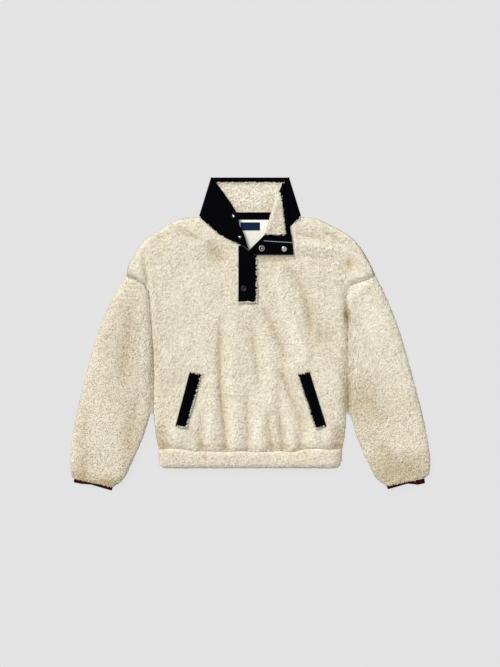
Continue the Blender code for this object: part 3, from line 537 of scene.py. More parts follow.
def soft_noise(points, size, seed):
    """Noise from -1 to 1: random numbers at the corners of cubes, blended smoothly between."""
    scaled = points / size
    low = np.floor(scaled)
    part = scaled - low
    part = part * part * (3.0 - 2.0 * part)
    low = low.astype(np.int64)
    total = np.zeros(points.shape[:-1])
    for corner in np.ndindex(2, 2, 2):
        corner = np.array(corner)
        weight = np.prod(np.where(corner == 1, part, 1.0 - part), axis=-1)
        total += weight * cell_random(low + corner, seed)
    return 2.0 * total - 1.0


def nub_field(points, size, seed):
    """1 at the middle of a nub, 0 from its rim outwards. Every cube of the given size holds
    one nub at a random place, and a point belongs to the nearest."""
    scaled = points / size
    low = np.floor(scaled).astype(np.int64)
    nearest = np.full(points.shape[:-1], 9.0)
    for step in np.ndindex(3, 3, 3):
        cell = low + np.array(step) - 1
        for_axis = [cell_random(cell, seed + axis) for axis in range(3)]
        offset = cell + np.stack(for_axis, axis=-1) - scaled
        nearest = np.minimum(nearest, (offset ** 2).sum(axis=-1))
    return np.clip(1.0 - nearest / 0.75, 0.0, 1.0)


def curl_pile(points, normals, depth, seed):
    """Curly pile on a grid of points: nubs and worm-like ridges on wandering coordinates.

    Returns the points moved out along their normals, and the height of the pile there from
    0 at the roots to 1 at the tips.
    """
    fleece = bpy.context.scene.pullover_fleece
    size = fleece.curl_size / MM
    wander = np.stack([soft_noise(points, 1.6 * size, seed + 20 + axis) for axis in range(3)],
                      axis=-1)
    moved = points + 0.45 * size * wander
    nubs = nub_field(moved, 1.05 * size, seed)
    worms = 1.0 - np.abs(soft_noise(moved, 1.1 * size, seed + 5)) * 1.9
    clumps = soft_noise(points, 3.4 * size, seed + 9)
    height = np.clip(0.55 * nubs + 0.33 * np.clip(worms, 0.0, 1.0) + 0.10 * clumps + 0.06,
                     0.0, 1.0)
    rise = (height - 0.45) * 2.0 * fleece.curl_depth / MM * depth
    return points + normals * rise[..., None], height


# --- meshes

def grid_normals(points, closed=False):
    """Unit normals of a grid: its direction across columns times its direction up rows."""
    if closed:
        across = np.roll(points, -1, axis=1) - np.roll(points, 1, axis=1)
    else:
        across = np.gradient(points, axis=1)
    up = np.gradient(points, axis=0)
    return unit(np.cross(across, up))


def grid_numbers(shape, start=0, closed=False):
    """Numbers of a grid's points. A closed grid has its first column again at the end."""
    numbers = start + np.arange(shape[0] * shape[1]).reshape(shape)
    return np.concatenate([numbers, numbers[:, :1]], axis=1) if closed else numbers


def quads_of(numbers):
    """Faces of a grid of point numbers, seen counter-clockwise with rows up and columns right."""
    low, high = numbers[:-1], numbers[1:]
    return np.stack([low[:, :-1], low[:, 1:], high[:, 1:], high[:, :-1]], axis=-1).reshape(-1, 4)


def wall_faces(rows, columns, step, keep, closed):
    """Faces of a cloth wall between a fine grid and a coarse one under it.

    The coarse grid has one row for step rows of the fine one. keep marks the coarse cells
    that are cloth. Every cell edge with cloth on one side only gets a rim.
    """
    top = grid_numbers((rows, columns), 0, closed)
    bottom = grid_numbers(((rows - 1) // step + 1, columns), rows * columns, closed)
    if keep is None:
        keep = np.ones((bottom.shape[0] - 1, bottom.shape[1] - 1), bool)
    fine = np.repeat(keep, step, axis=0).ravel()
    groups = [quads_of(top)[fine], quads_of(bottom)[keep.ravel()][:, ::-1]]
    padded = np.zeros((keep.shape[0] + 2, keep.shape[1] + 2), bool)
    padded[1:-1, 1:-1] = keep
    if closed:
        padded[1:-1, 0], padded[1:-1, -1] = keep[:, -1], keep[:, 0]
    below, above = padded[:-1, 1:-1], padded[1:, 1:-1]
    for mask, order in ((above & ~below, 1), (below & ~above, -1)):
        row, column = np.nonzero(mask)
        rim = np.stack([top[row * step, column + 1], top[row * step, column],
                        bottom[row, column], bottom[row, column + 1]], axis=-1)
        groups.append(rim[:, ::order])
    last = keep.shape[1] + (0 if closed else 1)
    before, after = padded[1:-1, :last], padded[1:-1, 1:last + 1]
    for mask, order in ((after & ~before, 1), (before & ~after, -1)):
        row, column = np.nonzero(mask)
        ups = top[row[:, None] * step + np.arange(step + 1), column[:, None]]
        rim = np.concatenate([ups, bottom[row + 1, column][:, None],
                              bottom[row, column][:, None]], axis=1)
        groups.append(rim[:, ::order])
    return [group for group in groups if len(group)]


def tiled(faces, count, each):
    """The faces of one of count like shapes, given for all of them: each has each points."""
    start = each * np.arange(count)[:, None, None]
    return (start + np.array(faces)[None]).reshape(-1, len(faces[0]))


def add_piece(name, points, groups, material, slot, nodes=(), **attributes):
    """One object from points in millimetres and groups of faces, riding on the root body."""
    used = np.unique(np.concatenate([group.ravel() for group in groups]))
    renumber = np.zeros(len(points), np.int64)
    renumber[used] = np.arange(len(used))
    mesh = bpy.data.meshes.new(name)
    faces = [face for group in groups for face in renumber[group].tolist()]
    mesh.from_pydata((points[used] * MM).tolist(), [], faces)
    for key, values in attributes.items():
        values = np.asarray(values, np.float32)[used]
        kind, field = ("FLOAT", "value") if values.ndim == 1 else ("FLOAT_VECTOR", "vector")
        mesh.attributes.new(key, kind, "POINT").data.foreach_set(field, values.ravel())
    mesh.polygons.foreach_set("use_smooth", np.ones(len(mesh.polygons), bool))
    mesh.materials.append(material)
    mesh.update()
    piece = bpy.data.objects.new(name, mesh)
    bpy.context.scene.collection.objects.link(piece)
    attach(piece, "root")
    if nodes:
        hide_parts(*nodes)
    return piece


def cloth_lengths(points):
    """Place on the cloth of each grid point: length along its row, length up its column."""
    across = np.linalg.norm(np.diff(points, axis=1), axis=-1)
    up = step_lengths(points)
    u = np.concatenate([np.zeros((points.shape[0], 1)), np.cumsum(across, axis=1)], axis=1)
    v = np.concatenate([np.zeros((1, points.shape[1])), np.cumsum(up, axis=0)], axis=0)
    return np.stack([u, v, np.zeros_like(u)], axis=-1) * MM


def pile_locks(name, seats, normals, leans, lengths, widths, material, seed):
    """Small curled tufts: each is a three-sided tube that rises, leans over and ends in a tip.

    The middle line of a tuft climbs along its normal as a half wave and runs out along its
    lean. Its width falls from the base to the tip as a quarter of a circle.
    """
    rng = np.random.default_rng(seed)
    count = len(seats)
    side = unit(np.cross(normals, leans))
    along = np.array((0.0, 0.4, 0.75))
    turn = rng.uniform(-0.6, 0.6, count)[:, None]

    def middle(share):
        return (seats + normals * (np.sin(np.pi * (0.15 + 0.7 * share)) - 0.45)[:, None]
                * (0.42 * lengths)[:, None] + leans * (share * lengths)[:, None]
                + side * (turn * (share * lengths)[:, None] ** 2 / 4.0))
    rings = []
    for share in along:
        centre = middle(np.full(count, share))
        radius = (0.5 * widths * math.sqrt(1.0 - share ** 2))[:, None]
        for angle in 0.5 * np.pi + 2.0 * np.arange(3) * np.pi / 3.0:
            rings.append(centre + radius * (normals * math.sin(angle) + side * math.cos(angle)))
    tip = middle(np.full(count, 1.0))
    points = np.stack([*rings, tip], axis=1)
    each = points.shape[1]
    quads = [(ring * 3 + i, ring * 3 + (i + 1) % 3, ring * 3 + 3 + (i + 1) % 3, ring * 3 + 3 + i)
             for ring in range(2) for i in range(3)]
    ends = [(6, 7, 9), (7, 8, 9), (8, 6, 9), (2, 1, 0)]
    groups = [tiled(quads, count, each), tiled(ends, count, each)]
    # Painted shade at the tufts' bases: their low pile values take the darker root colour
    shade = np.tile(np.array((0.35, 0.35, 0.35, 0.75, 0.75, 0.75, 0.9, 0.9, 0.9, 1.0)), count)
    flat = points.reshape(-1, 3)
    flat[:, 2] = np.maximum(flat[:, 2], 0.0)
    # The tufts take the pile's painted light and shade as well
    return add_piece(name, flat, groups, material, "sherpa_fleece", pile=shade,
                     nap=nap_of(flat), cloth=flat * MM)


def random_leans(normals, rng):
    """Unit directions that lie across the normals, turned at random."""
    loose = rng.normal(size=normals.shape)
    loose -= normals * (loose * normals).sum(axis=-1, keepdims=True)
    return unit(loose)


# --- lie of the cloth

SEAM_DIP = 3.2  # how deep the front dips along the hem seam
SEAM_DIP_HALF = 4.5
SAG = 6.0  # how far the hem seam hangs down in its middle
SAG_FROM, SAG_RAMP, SAG_MIDDLE = 152.0, 48.0, -10.0
SAG_REACH = 15.0  # how far above and below the seam the cloth follows it


def crease_heights(plan):
    """Sum of the creases: each is its height at the nearest point of its line, times a bell
    across it that is narrower for troughs than for ridges."""
    total = np.zeros(plan.shape[:-1])
    for table in CREASES:
        line = resample(table, np.linspace(0.0, 1.0, 6 * len(table)))
        reach = 3.5 * line[:, 2].max()
        low, high = line[:, :2].min(axis=0) - reach, line[:, :2].max(axis=0) + reach
        near = np.all((plan > low) & (plan < high), axis=-1)
        if not near.any():
            continue
        distance, _, extra = nearest_on_line(plan[near], line)
        power = 1.5 if line[:, 3].min() < 0 else 2.0
        total[near] += extra[..., 1] * np.exp(-(distance / extra[..., 0]) ** power)
    return total


def looseness(plan):
    """1 where the fleece lies free, 0 where a trim holds it flat."""
    free = np.ones(plan.shape[:-1])
    for x_low, x_high, y_low, y_high in QUIET:
        outside = np.maximum.reduce([x_low - plan[..., 0], plan[..., 0] - x_high,
                                     y_low - plan[..., 1], plan[..., 1] - y_high])
        free = np.minimum(free, smooth_step(outside / QUIET_RAMP))
    return free


def swell(plan):
    """Slow rise and fall of the laid cloth."""
    flat = np.concatenate([plan, np.zeros(plan.shape[:-1] + (1,))], axis=-1)
    return 0.7 * soft_noise(flat, 62.0, 3) + 0.4 * soft_noise(flat, 27.0, 4)


def seam_sag(plan):
    """The plan with the hem seam, and what lies next to it, let down in the middle."""
    x, y = plan[..., 0], plan[..., 1]
    middle = smooth_step((SAG_FROM - np.abs(x - SAG_MIDDLE)) / SAG_RAMP)
    drop = SAG * middle + 0.9 * np.sin(x / 13.0) + 0.6 * np.sin(x / 7.3 + 1.0)
    near = np.exp(-((y - HEM_SEAM_Y) / SAG_REACH) ** 2)
    return np.stack([x, y - drop * near], axis=-1)


def front_level(plan):
    """Top of the front before it rounds down to its edges: flat, with creases, a slow swell
    and a dip along the hem seam."""
    level = BODY_LEVEL + (CREASE_LIFT * crease_heights(plan) + swell(plan)) * looseness(plan)
    return level - SEAM_DIP * np.exp(-((plan[..., 1] - HEM_SEAM_Y) / SEAM_DIP_HALF) ** 2)


def outline_lines():
    """The body's closed side folds and its shoulder outlines, as fine lines."""
    sides = np.array(BODY_SIDES)
    shoulder = np.array(SHOULDER)
    folds, shoulders = [], []
    for side, key in ((-1, 1), (1, 2)):
        y = np.linspace(sides[0, 0], sides[FOLD_ROWS - 1, 0], 30)
        folds.append(np.stack([soft_curve(y, sides[:, 0], sides[:, key]), y], axis=-1))
        x = np.linspace(shoulder[0, 0], abs(sides[-1, key]), 50)
        shoulders.append(np.stack([side * x, table_curve(SHOULDER, key, x)], axis=-1))
    return folds, shoulders


def outline_distance(plan):
    """Distance to the body's closed outline, and the unit direction into the body."""
    folds, shoulders = outline_lines()
    closed = np.full(plan.shape[:-1], np.inf)
    inward = np.zeros(plan.shape)
    for line in folds + shoulders:
        distance, away, _ = nearest_on_line(plan, line)
        nearer = distance < closed
        closed = np.where(nearer, distance, closed)
        inward = np.where(nearer[..., None], away, inward)
    across = np.stack([-plan[..., 0], np.zeros(plan.shape[:-1])], axis=-1)
    to_middle = np.where((plan[..., 1] > SHOULDER[-1][1])[..., None], -plan, across)
    return closed, np.where((closed < ON_OUTLINE)[..., None], unit(to_middle), inward)


def front_top(plan, closed):
    """Top of the front: its level, rounded down to the seam level along the closed outline."""
    floor = SEAM_LEVEL + GAP
    return floor + (front_level(plan) - floor) * rounded(closed, ROUND_TOP)


def panel_plan(neck, slit, heights, to_neck, to_side, between_slit):
    """Plan of a body panel: rows from hem to shoulder, columns from left to right.

    Two columns stand at the edges of the slit, two end at the shoulder points, and the outer
    ones crowd towards the sides.
    """
    sides = np.array(BODY_SIDES)
    row_shares = (heights - heights[0]) / np.ptp(heights)
    step_from = sides[-2, 0]
    halves = []
    for side, inner in ((-1, slit[0]), (1, slit[1])):
        key = 1 if side < 0 else 2
        edge = np.abs(soft_curve(heights, sides[:, 0], sides[:, key]))
        corner = abs(sides[-2, key])
        smooth = np.where(heights > step_from,
                          np.interp(heights, (step_from, sides[-1, 0]),
                                    (corner, corner + SIDE_RUN_OUT)), edge)
        start = side * inner
        neck_share = (NECK_HALF - start) / (smooth[-1] - start)
        shares = np.concatenate([np.linspace(0.0, neck_share, to_neck + 1)[:-1],
                                 neck_share + (1.0 - neck_share) * crowded(to_side)])
        across = (start + (smooth - start)[:, None] * shares
                  + (edge - smooth)[:, None] * shares ** 8)
        top_across = across[-1]
        top_y = np.where(top_across > NECK_HALF, table_curve(SHOULDER, key, top_across),
                         table_curve(neck, key, top_across))
        y = HEM_SEAM_Y + row_shares[:, None] * (top_y - HEM_SEAM_Y)
        halves.append(np.stack([side * across, y], axis=-1))
    left, right = halves[0][:, ::-1], halves[1]
    share = np.linspace(0.0, 1.0, between_slit + 1)[1:-1, None]
    middle = left[:, -1:] + (right[:, :1] - left[:, -1:]) * share
    return np.concatenate([left, middle, right], axis=1)


def evened(directions):
    """Unit directions of a grid, each turned to the mean of those next to it."""
    for axis in (0, 1):
        padded = np.concatenate([directions.take([0], axis), directions,
                                 directions.take([-1], axis)], axis=axis)
        count = directions.shape[axis]
        directions = (directions + padded.take(np.arange(count), axis)
                      + padded.take(np.arange(2, count + 2), axis))
    return unit(directions)


def with_level(plan, level):
    return np.concatenate([plan, np.broadcast_to(level, plan.shape[:-1])[..., None]], axis=-1)


def tube_rings(plan, closed, inward, level, wall):
    """Outer and inner rings of a flattened tube from its plan.

    The plan's columns run from one fold to the other. A ring runs back along the underside,
    where the folds keep all their columns and the rest only one of TUBE_SPARE.
    """
    round_top = rounded(closed, ROUND_TOP)
    round_under = rounded(closed, ROUND_UNDER)
    inset_top = wall * np.clip(1.0 - closed / ROUND_TOP, 0.0, 1.0)
    inset_under = wall * np.clip(1.0 - closed / ROUND_UNDER, 0.0, 1.0)
    outer_top = SEAM_LEVEL + (level - SEAM_LEVEL) * round_top
    inner_top = SEAM_LEVEL + (np.maximum(level - wall, SEAM_LEVEL) - SEAM_LEVEL) * round_top
    outer_under = SEAM_LEVEL * (1.0 - round_under)
    inner_under = np.minimum(wall + (SEAM_LEVEL - wall) * (1.0 - round_under), inner_top)
    back = np.arange(plan.shape[1] - 2, 0, -1)
    fold_columns = 8
    kept = (back >= plan.shape[1] - 2 - fold_columns) | (back <= fold_columns) \
        | (back % TUBE_SPARE == 0)
    back = back[kept]

    def ring(top_plan, top, under_plan, under):
        return np.concatenate([with_level(top_plan, top),
                               with_level(under_plan, under)[:, back]], axis=1)

    outer = ring(plan, outer_top, plan, outer_under)
    inner = ring(plan + inward * inset_top[..., None], inner_top,
                 plan + inward * inset_under[..., None], inner_under)
    return outer, inner


def side_inward(plan):
    """Unit directions across a plan from its first column to its last, turned at the middle."""
    across = unit(plan[:, -1:] - plan[:, :1])
    middle = plan.shape[1] // 2
    turned = np.where(np.arange(plan.shape[1]) > middle, -1.0, 1.0)[None, :, None]
    return np.broadcast_to(across, plan.shape) * turned


def sleeve_plan(side, rows, columns):
    """Coons patch between the armhole, the cuff and the sleeve's outer and inner folds: the
    sum of the blends of both pairs of facing edges, less the blend of the four corners."""
    outer, inner = SLEEVE_OUTER[side], SLEEVE_INNER[side]
    sign, key = (-1.0, 1) if side == "right" else (1.0, 2)
    sides = np.array(BODY_SIDES)
    y = np.linspace(sides[-1, 0], sides[FOLD_ROWS - 1, 0], 120)
    mouth = np.stack([soft_curve(y, sides[:, 0], sides[:, key]) + sign * 0.45, y - 0.4], axis=-1)
    across, along = crowded_both(columns), np.linspace(0.0, 1.0, rows + 1)
    start = resample(mouth, across)
    end = resample((outer[-1], inner[-1]), across)
    low, high = resample(outer, along), resample(inner, along)
    low[0], high[0] = mouth[0], mouth[-1]
    u, v = across[None, :, None], along[:, None, None]
    corner_sum = ((1 - u) * (1 - v) * start[0] + u * (1 - v) * start[-1]
                  + (1 - u) * v * end[0] + u * v * end[-1])
    plan = ((1 - v) * start[None] + v * end[None] + (1 - u) * low[:, None]
            + u * high[:, None] - corner_sum)
    return plan, low, high


def sleeve_rings(side):
    """Outer and inner rings of one sleeve, from the armhole to the cuff."""
    plan, low, high = sleeve_plan(side, *SLEEVE_CELLS)
    closed = np.minimum(nearest_on_line(plan, low)[0], nearest_on_line(plan, high)[0])
    length = step_lengths(plan).sum(axis=0)
    to_cuff = (1.0 - np.linspace(0.0, 1.0, plan.shape[0]))[:, None] * length
    level = SLEEVE_LEVEL + crease_heights(plan) + swell(plan)
    level -= CUFF_DROP * smooth_step(1.0 - to_cuff / 90.0) + 1.2 * smooth_step(1.0 - to_cuff / 9.0)
    return tube_rings(plan, closed, side_inward(plan), level, FLEECE)


# --- collar

def between(lines, spacing):
    """The given lines and as many between them that no step is longer than spacing."""
    lines = np.array(lines)
    gaps = step_lengths(lines).max(axis=1)
    counts = np.maximum(np.ceil(gaps / spacing).astype(int), 1)
    at = np.concatenate([index + np.arange(count) / count for index, count in enumerate(counts)]
                        + [np.array([len(lines) - 1.0])])
    flat = soft_curve(at, np.arange(len(lines)), lines.reshape(len(lines), -1))
    return flat.reshape((-1,) + lines.shape[1:])


def fold_round(base, tip, middle, radius, angles, facing):
    """Stations round a fold: plan, level and the normal of the collar's outside.

    An angle of 0 is the top of the half circle and pi its bottom. base holds the plan of both
    ends, and facing is 1 where the collar's outside is outside the fold, -1 where it is inside.
    """
    stations = []
    for angle in angles:
        start = base[0] if angle < 0.5 * math.pi else base[1]
        bulge = unit(tip - start)
        normal = np.concatenate([bulge * math.sin(angle),
                                 np.full(start.shape[:1] + (1,), math.cos(angle))], axis=-1)
        stations.append((start + (tip - start) * math.sin(angle),
                         middle + radius * math.cos(angle), facing * normal))
    return stations


def flat_stations(lines, level, up):
    """Stations that lie flat at one level, with the collar's outside up (1) or down (-1)."""
    normal = np.array((0.0, 0.0, up))
    return [(line, level, np.broadcast_to(normal, line.shape[:1] + (3,))) for line in lines]


def right_front_line(fold, roll, seam_point, shares):
    """A line across the right front, between its side fold and its roll, from the neck seam."""
    share = (fold[0, 0] - seam_point[0]) / (fold[0, 0] - roll[0, 0])
    line = fold + (roll - fold) * share
    return line + (np.array(seam_point) - line[0]) * ((1.0 - shares) ** 2)[:, None]


def collar_surface(shares, spacing):
    """Points and outside normals of the surface where the collar's two cloths meet.

    Stations run from the left front edge, round the back, to the turned-back front edge, and
    each holds a point at every given share of the collar's height. Also returns the numbers
    of the first turned station and of the stations round the roll.
    """
    front = COLLAR_MIDDLE + FOLD_RADIUS
    back = COLLAR_MIDDLE - FOLD_RADIUS
    turned = front + 2.0 * ROLL_RADIUS
    lefts = between([resample(line, shares) for line in COLLAR_LEFT_FRONT], spacing)
    backs = between([resample(line, shares) for line in COLLAR_BACK], spacing)
    left_tip, right_tip, fold, roll, edge = (
        resample(line, shares) for line in (COLLAR_LEFT_TIP, COLLAR_RIGHT_TIP, COLLAR_RIGHT_FOLD,
                                            COLLAR_ROLL, COLLAR_TURNED_EDGE))
    rights = between([fold, *[right_front_line(fold, roll, point, shares)
                              for point in COLLAR_RIGHT_SEAM], roll], 3.0 * spacing)
    turned_back = between([roll, edge], spacing)
    round_fold = np.pi * np.arange(1, 14) / 14
    round_roll = np.pi * np.arange(9, 0, -1) / 10
    stations = flat_stations(lefts, front, 1.0)
    stations += fold_round((lefts[-1], backs[0]), left_tip, COLLAR_MIDDLE, FOLD_RADIUS,
                           round_fold, 1.0)
    stations += flat_stations(backs, back, -1.0)
    stations += fold_round((fold, backs[-1]), right_tip, COLLAR_MIDDLE, FOLD_RADIUS,
                           round_fold[::-1], 1.0)
    stations += flat_stations(rights, front, 1.0)
    stations += fold_round((roll, roll), roll + np.array(ROLL_OUT) * ROLL_RADIUS,
                           0.5 * (front + turned), ROLL_RADIUS, round_roll, -1.0)
    first_turned = len(stations)
    stations += flat_stations(turned_back, turned, -1.0)
    surface = np.stack([with_level(plan, level) for plan, level, _ in stations])
    return surface, np.stack([normal for _, _, normal in stations]), first_turned, len(round_roll)


def read_line(at, shares, line):
    """Points of a line at other shares of it, on straight steps."""
    return np.stack([np.interp(at, shares, line[:, axis]) for axis in range(3)], axis=-1)


def lining_lines(surface, normal, turned, roll_steps):
    """The part of the collar that the fleece lines: it stops at the band and the facing."""
    seam_share = np.array([np.interp(BAND_SEAM_Y + 0.6, line[:, 1], LINING_SHARES, right=1.0)
                           for line in surface[turned:]])
    high = 1.0 - FACING_SHARE
    first = int(np.argmax(surface[:, 0, 0] <= -47.0))
    last = turned + int((seam_share < high - 0.015).sum())
    low = np.zeros(surface.shape[0])
    low[turned:] = seam_share
    low[turned - roll_steps:turned] = seam_share[0]
    reach = [np.linspace(min(low[index], high - 0.01), high, LINING_LINES)
             for index in range(first, last)]
    return [np.array([read_line(at, LINING_SHARES, line)
                      for at, line in zip(reach, grid[first:last])]) for grid in (surface, normal)]


def turned_level():
    """Underside of what lies on the turned-back collar."""
    return COLLAR_MIDDLE + FOLD_RADIUS + 2.0 * ROLL_RADIUS + 0.5 * GAP


def spread(low_left, low_right, high_left, high_right, rows, columns):
    """Plan grid between four corners."""
    u = np.linspace(0.0, 1.0, columns)[None, :, None]
    v = np.linspace(0.0, 1.0, rows)[:, None, None]
    low_left, low_right, high_left, high_right = (
        np.array(corner, float) for corner in (low_left, low_right, high_left, high_right))
    return ((1 - v) * ((1 - u) * low_left + u * low_right)
            + v * ((1 - u) * high_left + u * high_right))


def oblong(box, rows, columns):
    """Plan grid of an upright rectangle: x from, x to, y from, y to."""
    left, right, low, high = box
    return spread((left, low), (right, low), (left, high), (right, high), rows, columns)


def welt_plan(side, rows=64, columns=14):
    top_open, top_front, bottom_front, bottom_open = WELTS[side]
    if side == "right":
        return spread(bottom_open, bottom_front, top_open, top_front, rows, columns)
    return spread(bottom_front, bottom_open, top_front, top_open, rows, columns)


def welt_low(plan):
    """Underside of a welt: it follows the front under it."""
    return front_top(plan, outline_distance(plan)[0]) + WELT_LIFT


def band_plan(table, rows, columns):
    """Plan grid from a table of y, x at the left, x at the right."""
    table = np.array(table)
    y = np.linspace(table[0, 0], table[-1, 0], rows)
    left, right = np.interp(y, table[:, 0], table[:, 1]), np.interp(y, table[:, 0], table[:, 2])
    x = left[:, None] + (right - left)[:, None] * np.linspace(0.0, 1.0, columns)
    return np.stack([x, np.broadcast_to(y[:, None], x.shape)], axis=-1)


def upright_plan(bottom, top_table, rows, columns):
    """Plan grid of a band from a level bottom edge to a top edge given by a table of x, y."""
    table = np.array(top_table)
    x = np.linspace(table[0, 0], table[-1, 0], columns)
    top = np.interp(x, table[:, 0], table[:, 1])
    y = bottom + np.linspace(0.0, 1.0, rows)[:, None] * (top - bottom)
    return np.stack([np.broadcast_to(x, y.shape), y], axis=-1)


# --- materials

def add_node(tree, kind, values=None, **settings):
    """A node with its settings, and its inputs set to values or linked to sockets."""
    node = tree.nodes.new(kind)
    for key, value in settings.items():
        setattr(node, key, value)
    for key, value in (values or {}).items():
        if isinstance(value, bpy.types.NodeSocket):
            tree.links.new(value, node.inputs[key])
        else:
            node.inputs[key].default_value = value
    return node


def math_node(tree, operation, first, second=0.0, third=0.0, clamp=False):
    return add_node(tree, "ShaderNodeMath", {0: first, 1: second, 2: third}, operation=operation,
                    use_clamp=clamp).outputs[0]


def map_range(tree, value, low, high, to_low=0.0, to_high=1.0):
    return add_node(tree, "ShaderNodeMapRange",
                    {"Value": value, "From Min": low, "From Max": high, "To Min": to_low,
                     "To Max": to_high}).outputs[0]


def mix_colours(tree, share, first, second, kind="MIX"):
    node = add_node(tree, "ShaderNodeMix", {0: share, 6: first, 7: second}, data_type="RGBA",
                    blend_type=kind)
    return node.outputs[2]


def new_group(name, **inputs):
    """A node group with named inputs of the given kinds, which gives a colour and a height."""
    group = bpy.data.node_groups.new(name, "ShaderNodeTree")
    for key, kind in inputs.items():
        group.interface.new_socket(name=key.replace("_", " "), in_out="INPUT",
                                   socket_type=f"NodeSocket{kind}")
    for key, kind in (("Colour", "Color"), ("Height", "Float")):
        group.interface.new_socket(name=key, in_out="OUTPUT", socket_type=f"NodeSocket{kind}")
    return group, group.nodes.new("NodeGroupInput"), group.nodes.new("NodeGroupOutput")


def curly_pile_group():
    """Curly pile: darker, warmer roots as painted shade between the curls, pale tips, slow patches
    of tone, painted light and shade from an input, and fine curls.
    """
    if "curly_pile" in bpy.data.node_groups:
        return bpy.data.node_groups["curly_pile"]
    group, start, end = new_group("curly_pile", Place="Vector", Pile="Float", Nap="Float",
                                  Tip="Color", Root="Color", Curl_scale="Float")
    place = start.outputs["Place"]
    scale = start.outputs["Curl scale"]
    stretched = add_node(group, "ShaderNodeMapping", {"Vector": place, "Scale": (0.75, 1.15, 1.0)})
    fine = add_node(group, "ShaderNodeTexNoise",
                    {"Vector": stretched.outputs[0], "Scale": scale, "Detail": 2.0,
                     "Roughness": 0.65, "Distortion": 0.7})
    grain = map_range(group, fine.outputs[0], 0.34, 0.66)
    wide = add_node(group, "ShaderNodeTexNoise",
                    {"Vector": stretched.outputs[0], "Detail": 1.0, "Distortion": 1.4,
                     "Scale": math_node(group, "MULTIPLY", scale, 0.55)})
    ridge = math_node(group, "ABSOLUTE", math_node(group, "SUBTRACT", wide.outputs[0], 0.5))
    worm = math_node(group, "SUBTRACT", 1.0, math_node(group, "MULTIPLY", ridge, 6.0),
                     clamp=True)
    curl = math_node(group, "ADD", math_node(group, "MULTIPLY", grain, 0.6),
                     math_node(group, "MULTIPLY", worm, 0.4), clamp=True)
    height = math_node(group, "ADD", math_node(group, "MULTIPLY", start.outputs["Pile"], 0.45),
                       math_node(group, "MULTIPLY", curl, 0.55), clamp=True)
    # Painted shade between the curls: low pile takes the darker root colour, high pile the tip
    # colour
    colour = mix_colours(group, map_range(group, height, 0.10, 0.78), start.outputs["Root"],
                         start.outputs["Tip"])
    slow = add_node(group, "ShaderNodeTexNoise", {"Vector": place, "Scale": 16.0, "Detail": 3.0})
    # Random slow tone plus the pile's painted light and shade
    tone = math_node(group, "ADD", map_range(group, slow.outputs[0], 0.3, 0.7, -0.035, 0.03),
                     start.outputs["Nap"])
    # Painted shade turns warmer as it darkens, and painted light a little cooler
    channels = [math_node(group, "MULTIPLY_ADD", tone, part, 1.0) for part in (0.82, 1.0, 1.35)]
    tint = add_node(group, "ShaderNodeCombineColor", dict(enumerate(channels))).outputs[0]
    colour = mix_colours(group, 1.0, colour, tint, "MULTIPLY")
    group.links.new(colour, end.inputs["Colour"])
    group.links.new(curl, end.inputs["Height"])
    return group


def woven_cloth_group():
    """Woven cloth: two sets of threads at right angles and a slow change of tone, with painted
    light on the threads' ridges and painted shade between them.
    """
    if "woven_cloth" in bpy.data.node_groups:
        return bpy.data.node_groups["woven_cloth"]
    group, start, end = new_group("woven_cloth", Cloth="Vector", Threads="Float", Base="Color",
                                  Ridge="Color")
    cloth = add_node(group, "ShaderNodeVectorMath",
                     {0: start.outputs["Cloth"], "Scale": start.outputs["Threads"]},
                     operation="SCALE")
    warp, weft = (add_node(group, "ShaderNodeTexWave",
                           {"Vector": cloth.outputs[0], "Scale": scale, "Distortion": 0.6,
                            "Detail Scale": 0.5}, wave_type="BANDS", bands_direction=direction)
                  for scale, direction in ((1.0, "X"), (0.7, "Y")))
    height = math_node(group, "MULTIPLY", warp.outputs["Fac"], weft.outputs["Fac"])
    height = math_node(group, "ADD", math_node(group, "MULTIPLY", height, 0.6),
                       math_node(group, "MULTIPLY", warp.outputs["Fac"], 0.4))
    slow = add_node(group, "ShaderNodeTexNoise",
                    {"Vector": start.outputs["Cloth"], "Scale": 60.0, "Detail": 3.0})
    # Painted light on the threads' ridges and painted shade between them, stronger in some slow
    # patches than in others
    share = math_node(group, "MULTIPLY", height, slow.outputs[0])
    colour = mix_colours(group, share, start.outputs["Base"], start.outputs["Ridge"])
    group.links.new(colour, end.inputs["Colour"])
    group.links.new(height, end.inputs["Height"])
    return group


THREADS_IN_PITCH = 0.62  # bands of the wave texture in one pitch of the weave


def rgba(colour, factor=1.0):
    return (*[channel * factor for channel in colour], 1.0)


def new_material(name, make, *values):
    """The material of that name. If it isn't there yet, make gets its tree, its shader and the
    values, and returns what the bump takes: a height, its strength and its distance."""
    if name in bpy.data.materials:
        return bpy.data.materials[name]
    material = bpy.data.materials.new(name)
    material.use_nodes = True
    tree = material.node_tree
    shader = tree.nodes["Principled BSDF"]
    height, strength, distance = make(tree, shader, *values)
    bump = add_node(tree, "ShaderNodeBump", {"Height": height, "Strength": strength,
                                             "Distance": distance})
    tree.links.new(bump.outputs[0], shader.inputs["Normal"])
    return material


def attribute(tree, name, output="Fac"):
    return add_node(tree, "ShaderNodeAttribute", attribute_name=name).outputs[output]


def object_place(tree):
    return add_node(tree, "ShaderNodeTexCoord").outputs["Object"]


def set_inputs(shader, **values):
    """Set a shader's sockets, named with _ for a space; a linked value is a socket."""
    for key, value in values.items():
        socket = shader.inputs[key.replace("_", " ")]
        if isinstance(value, bpy.types.NodeSocket):
            shader.id_data.links.new(value, socket)
        else:
            socket.default_value = value


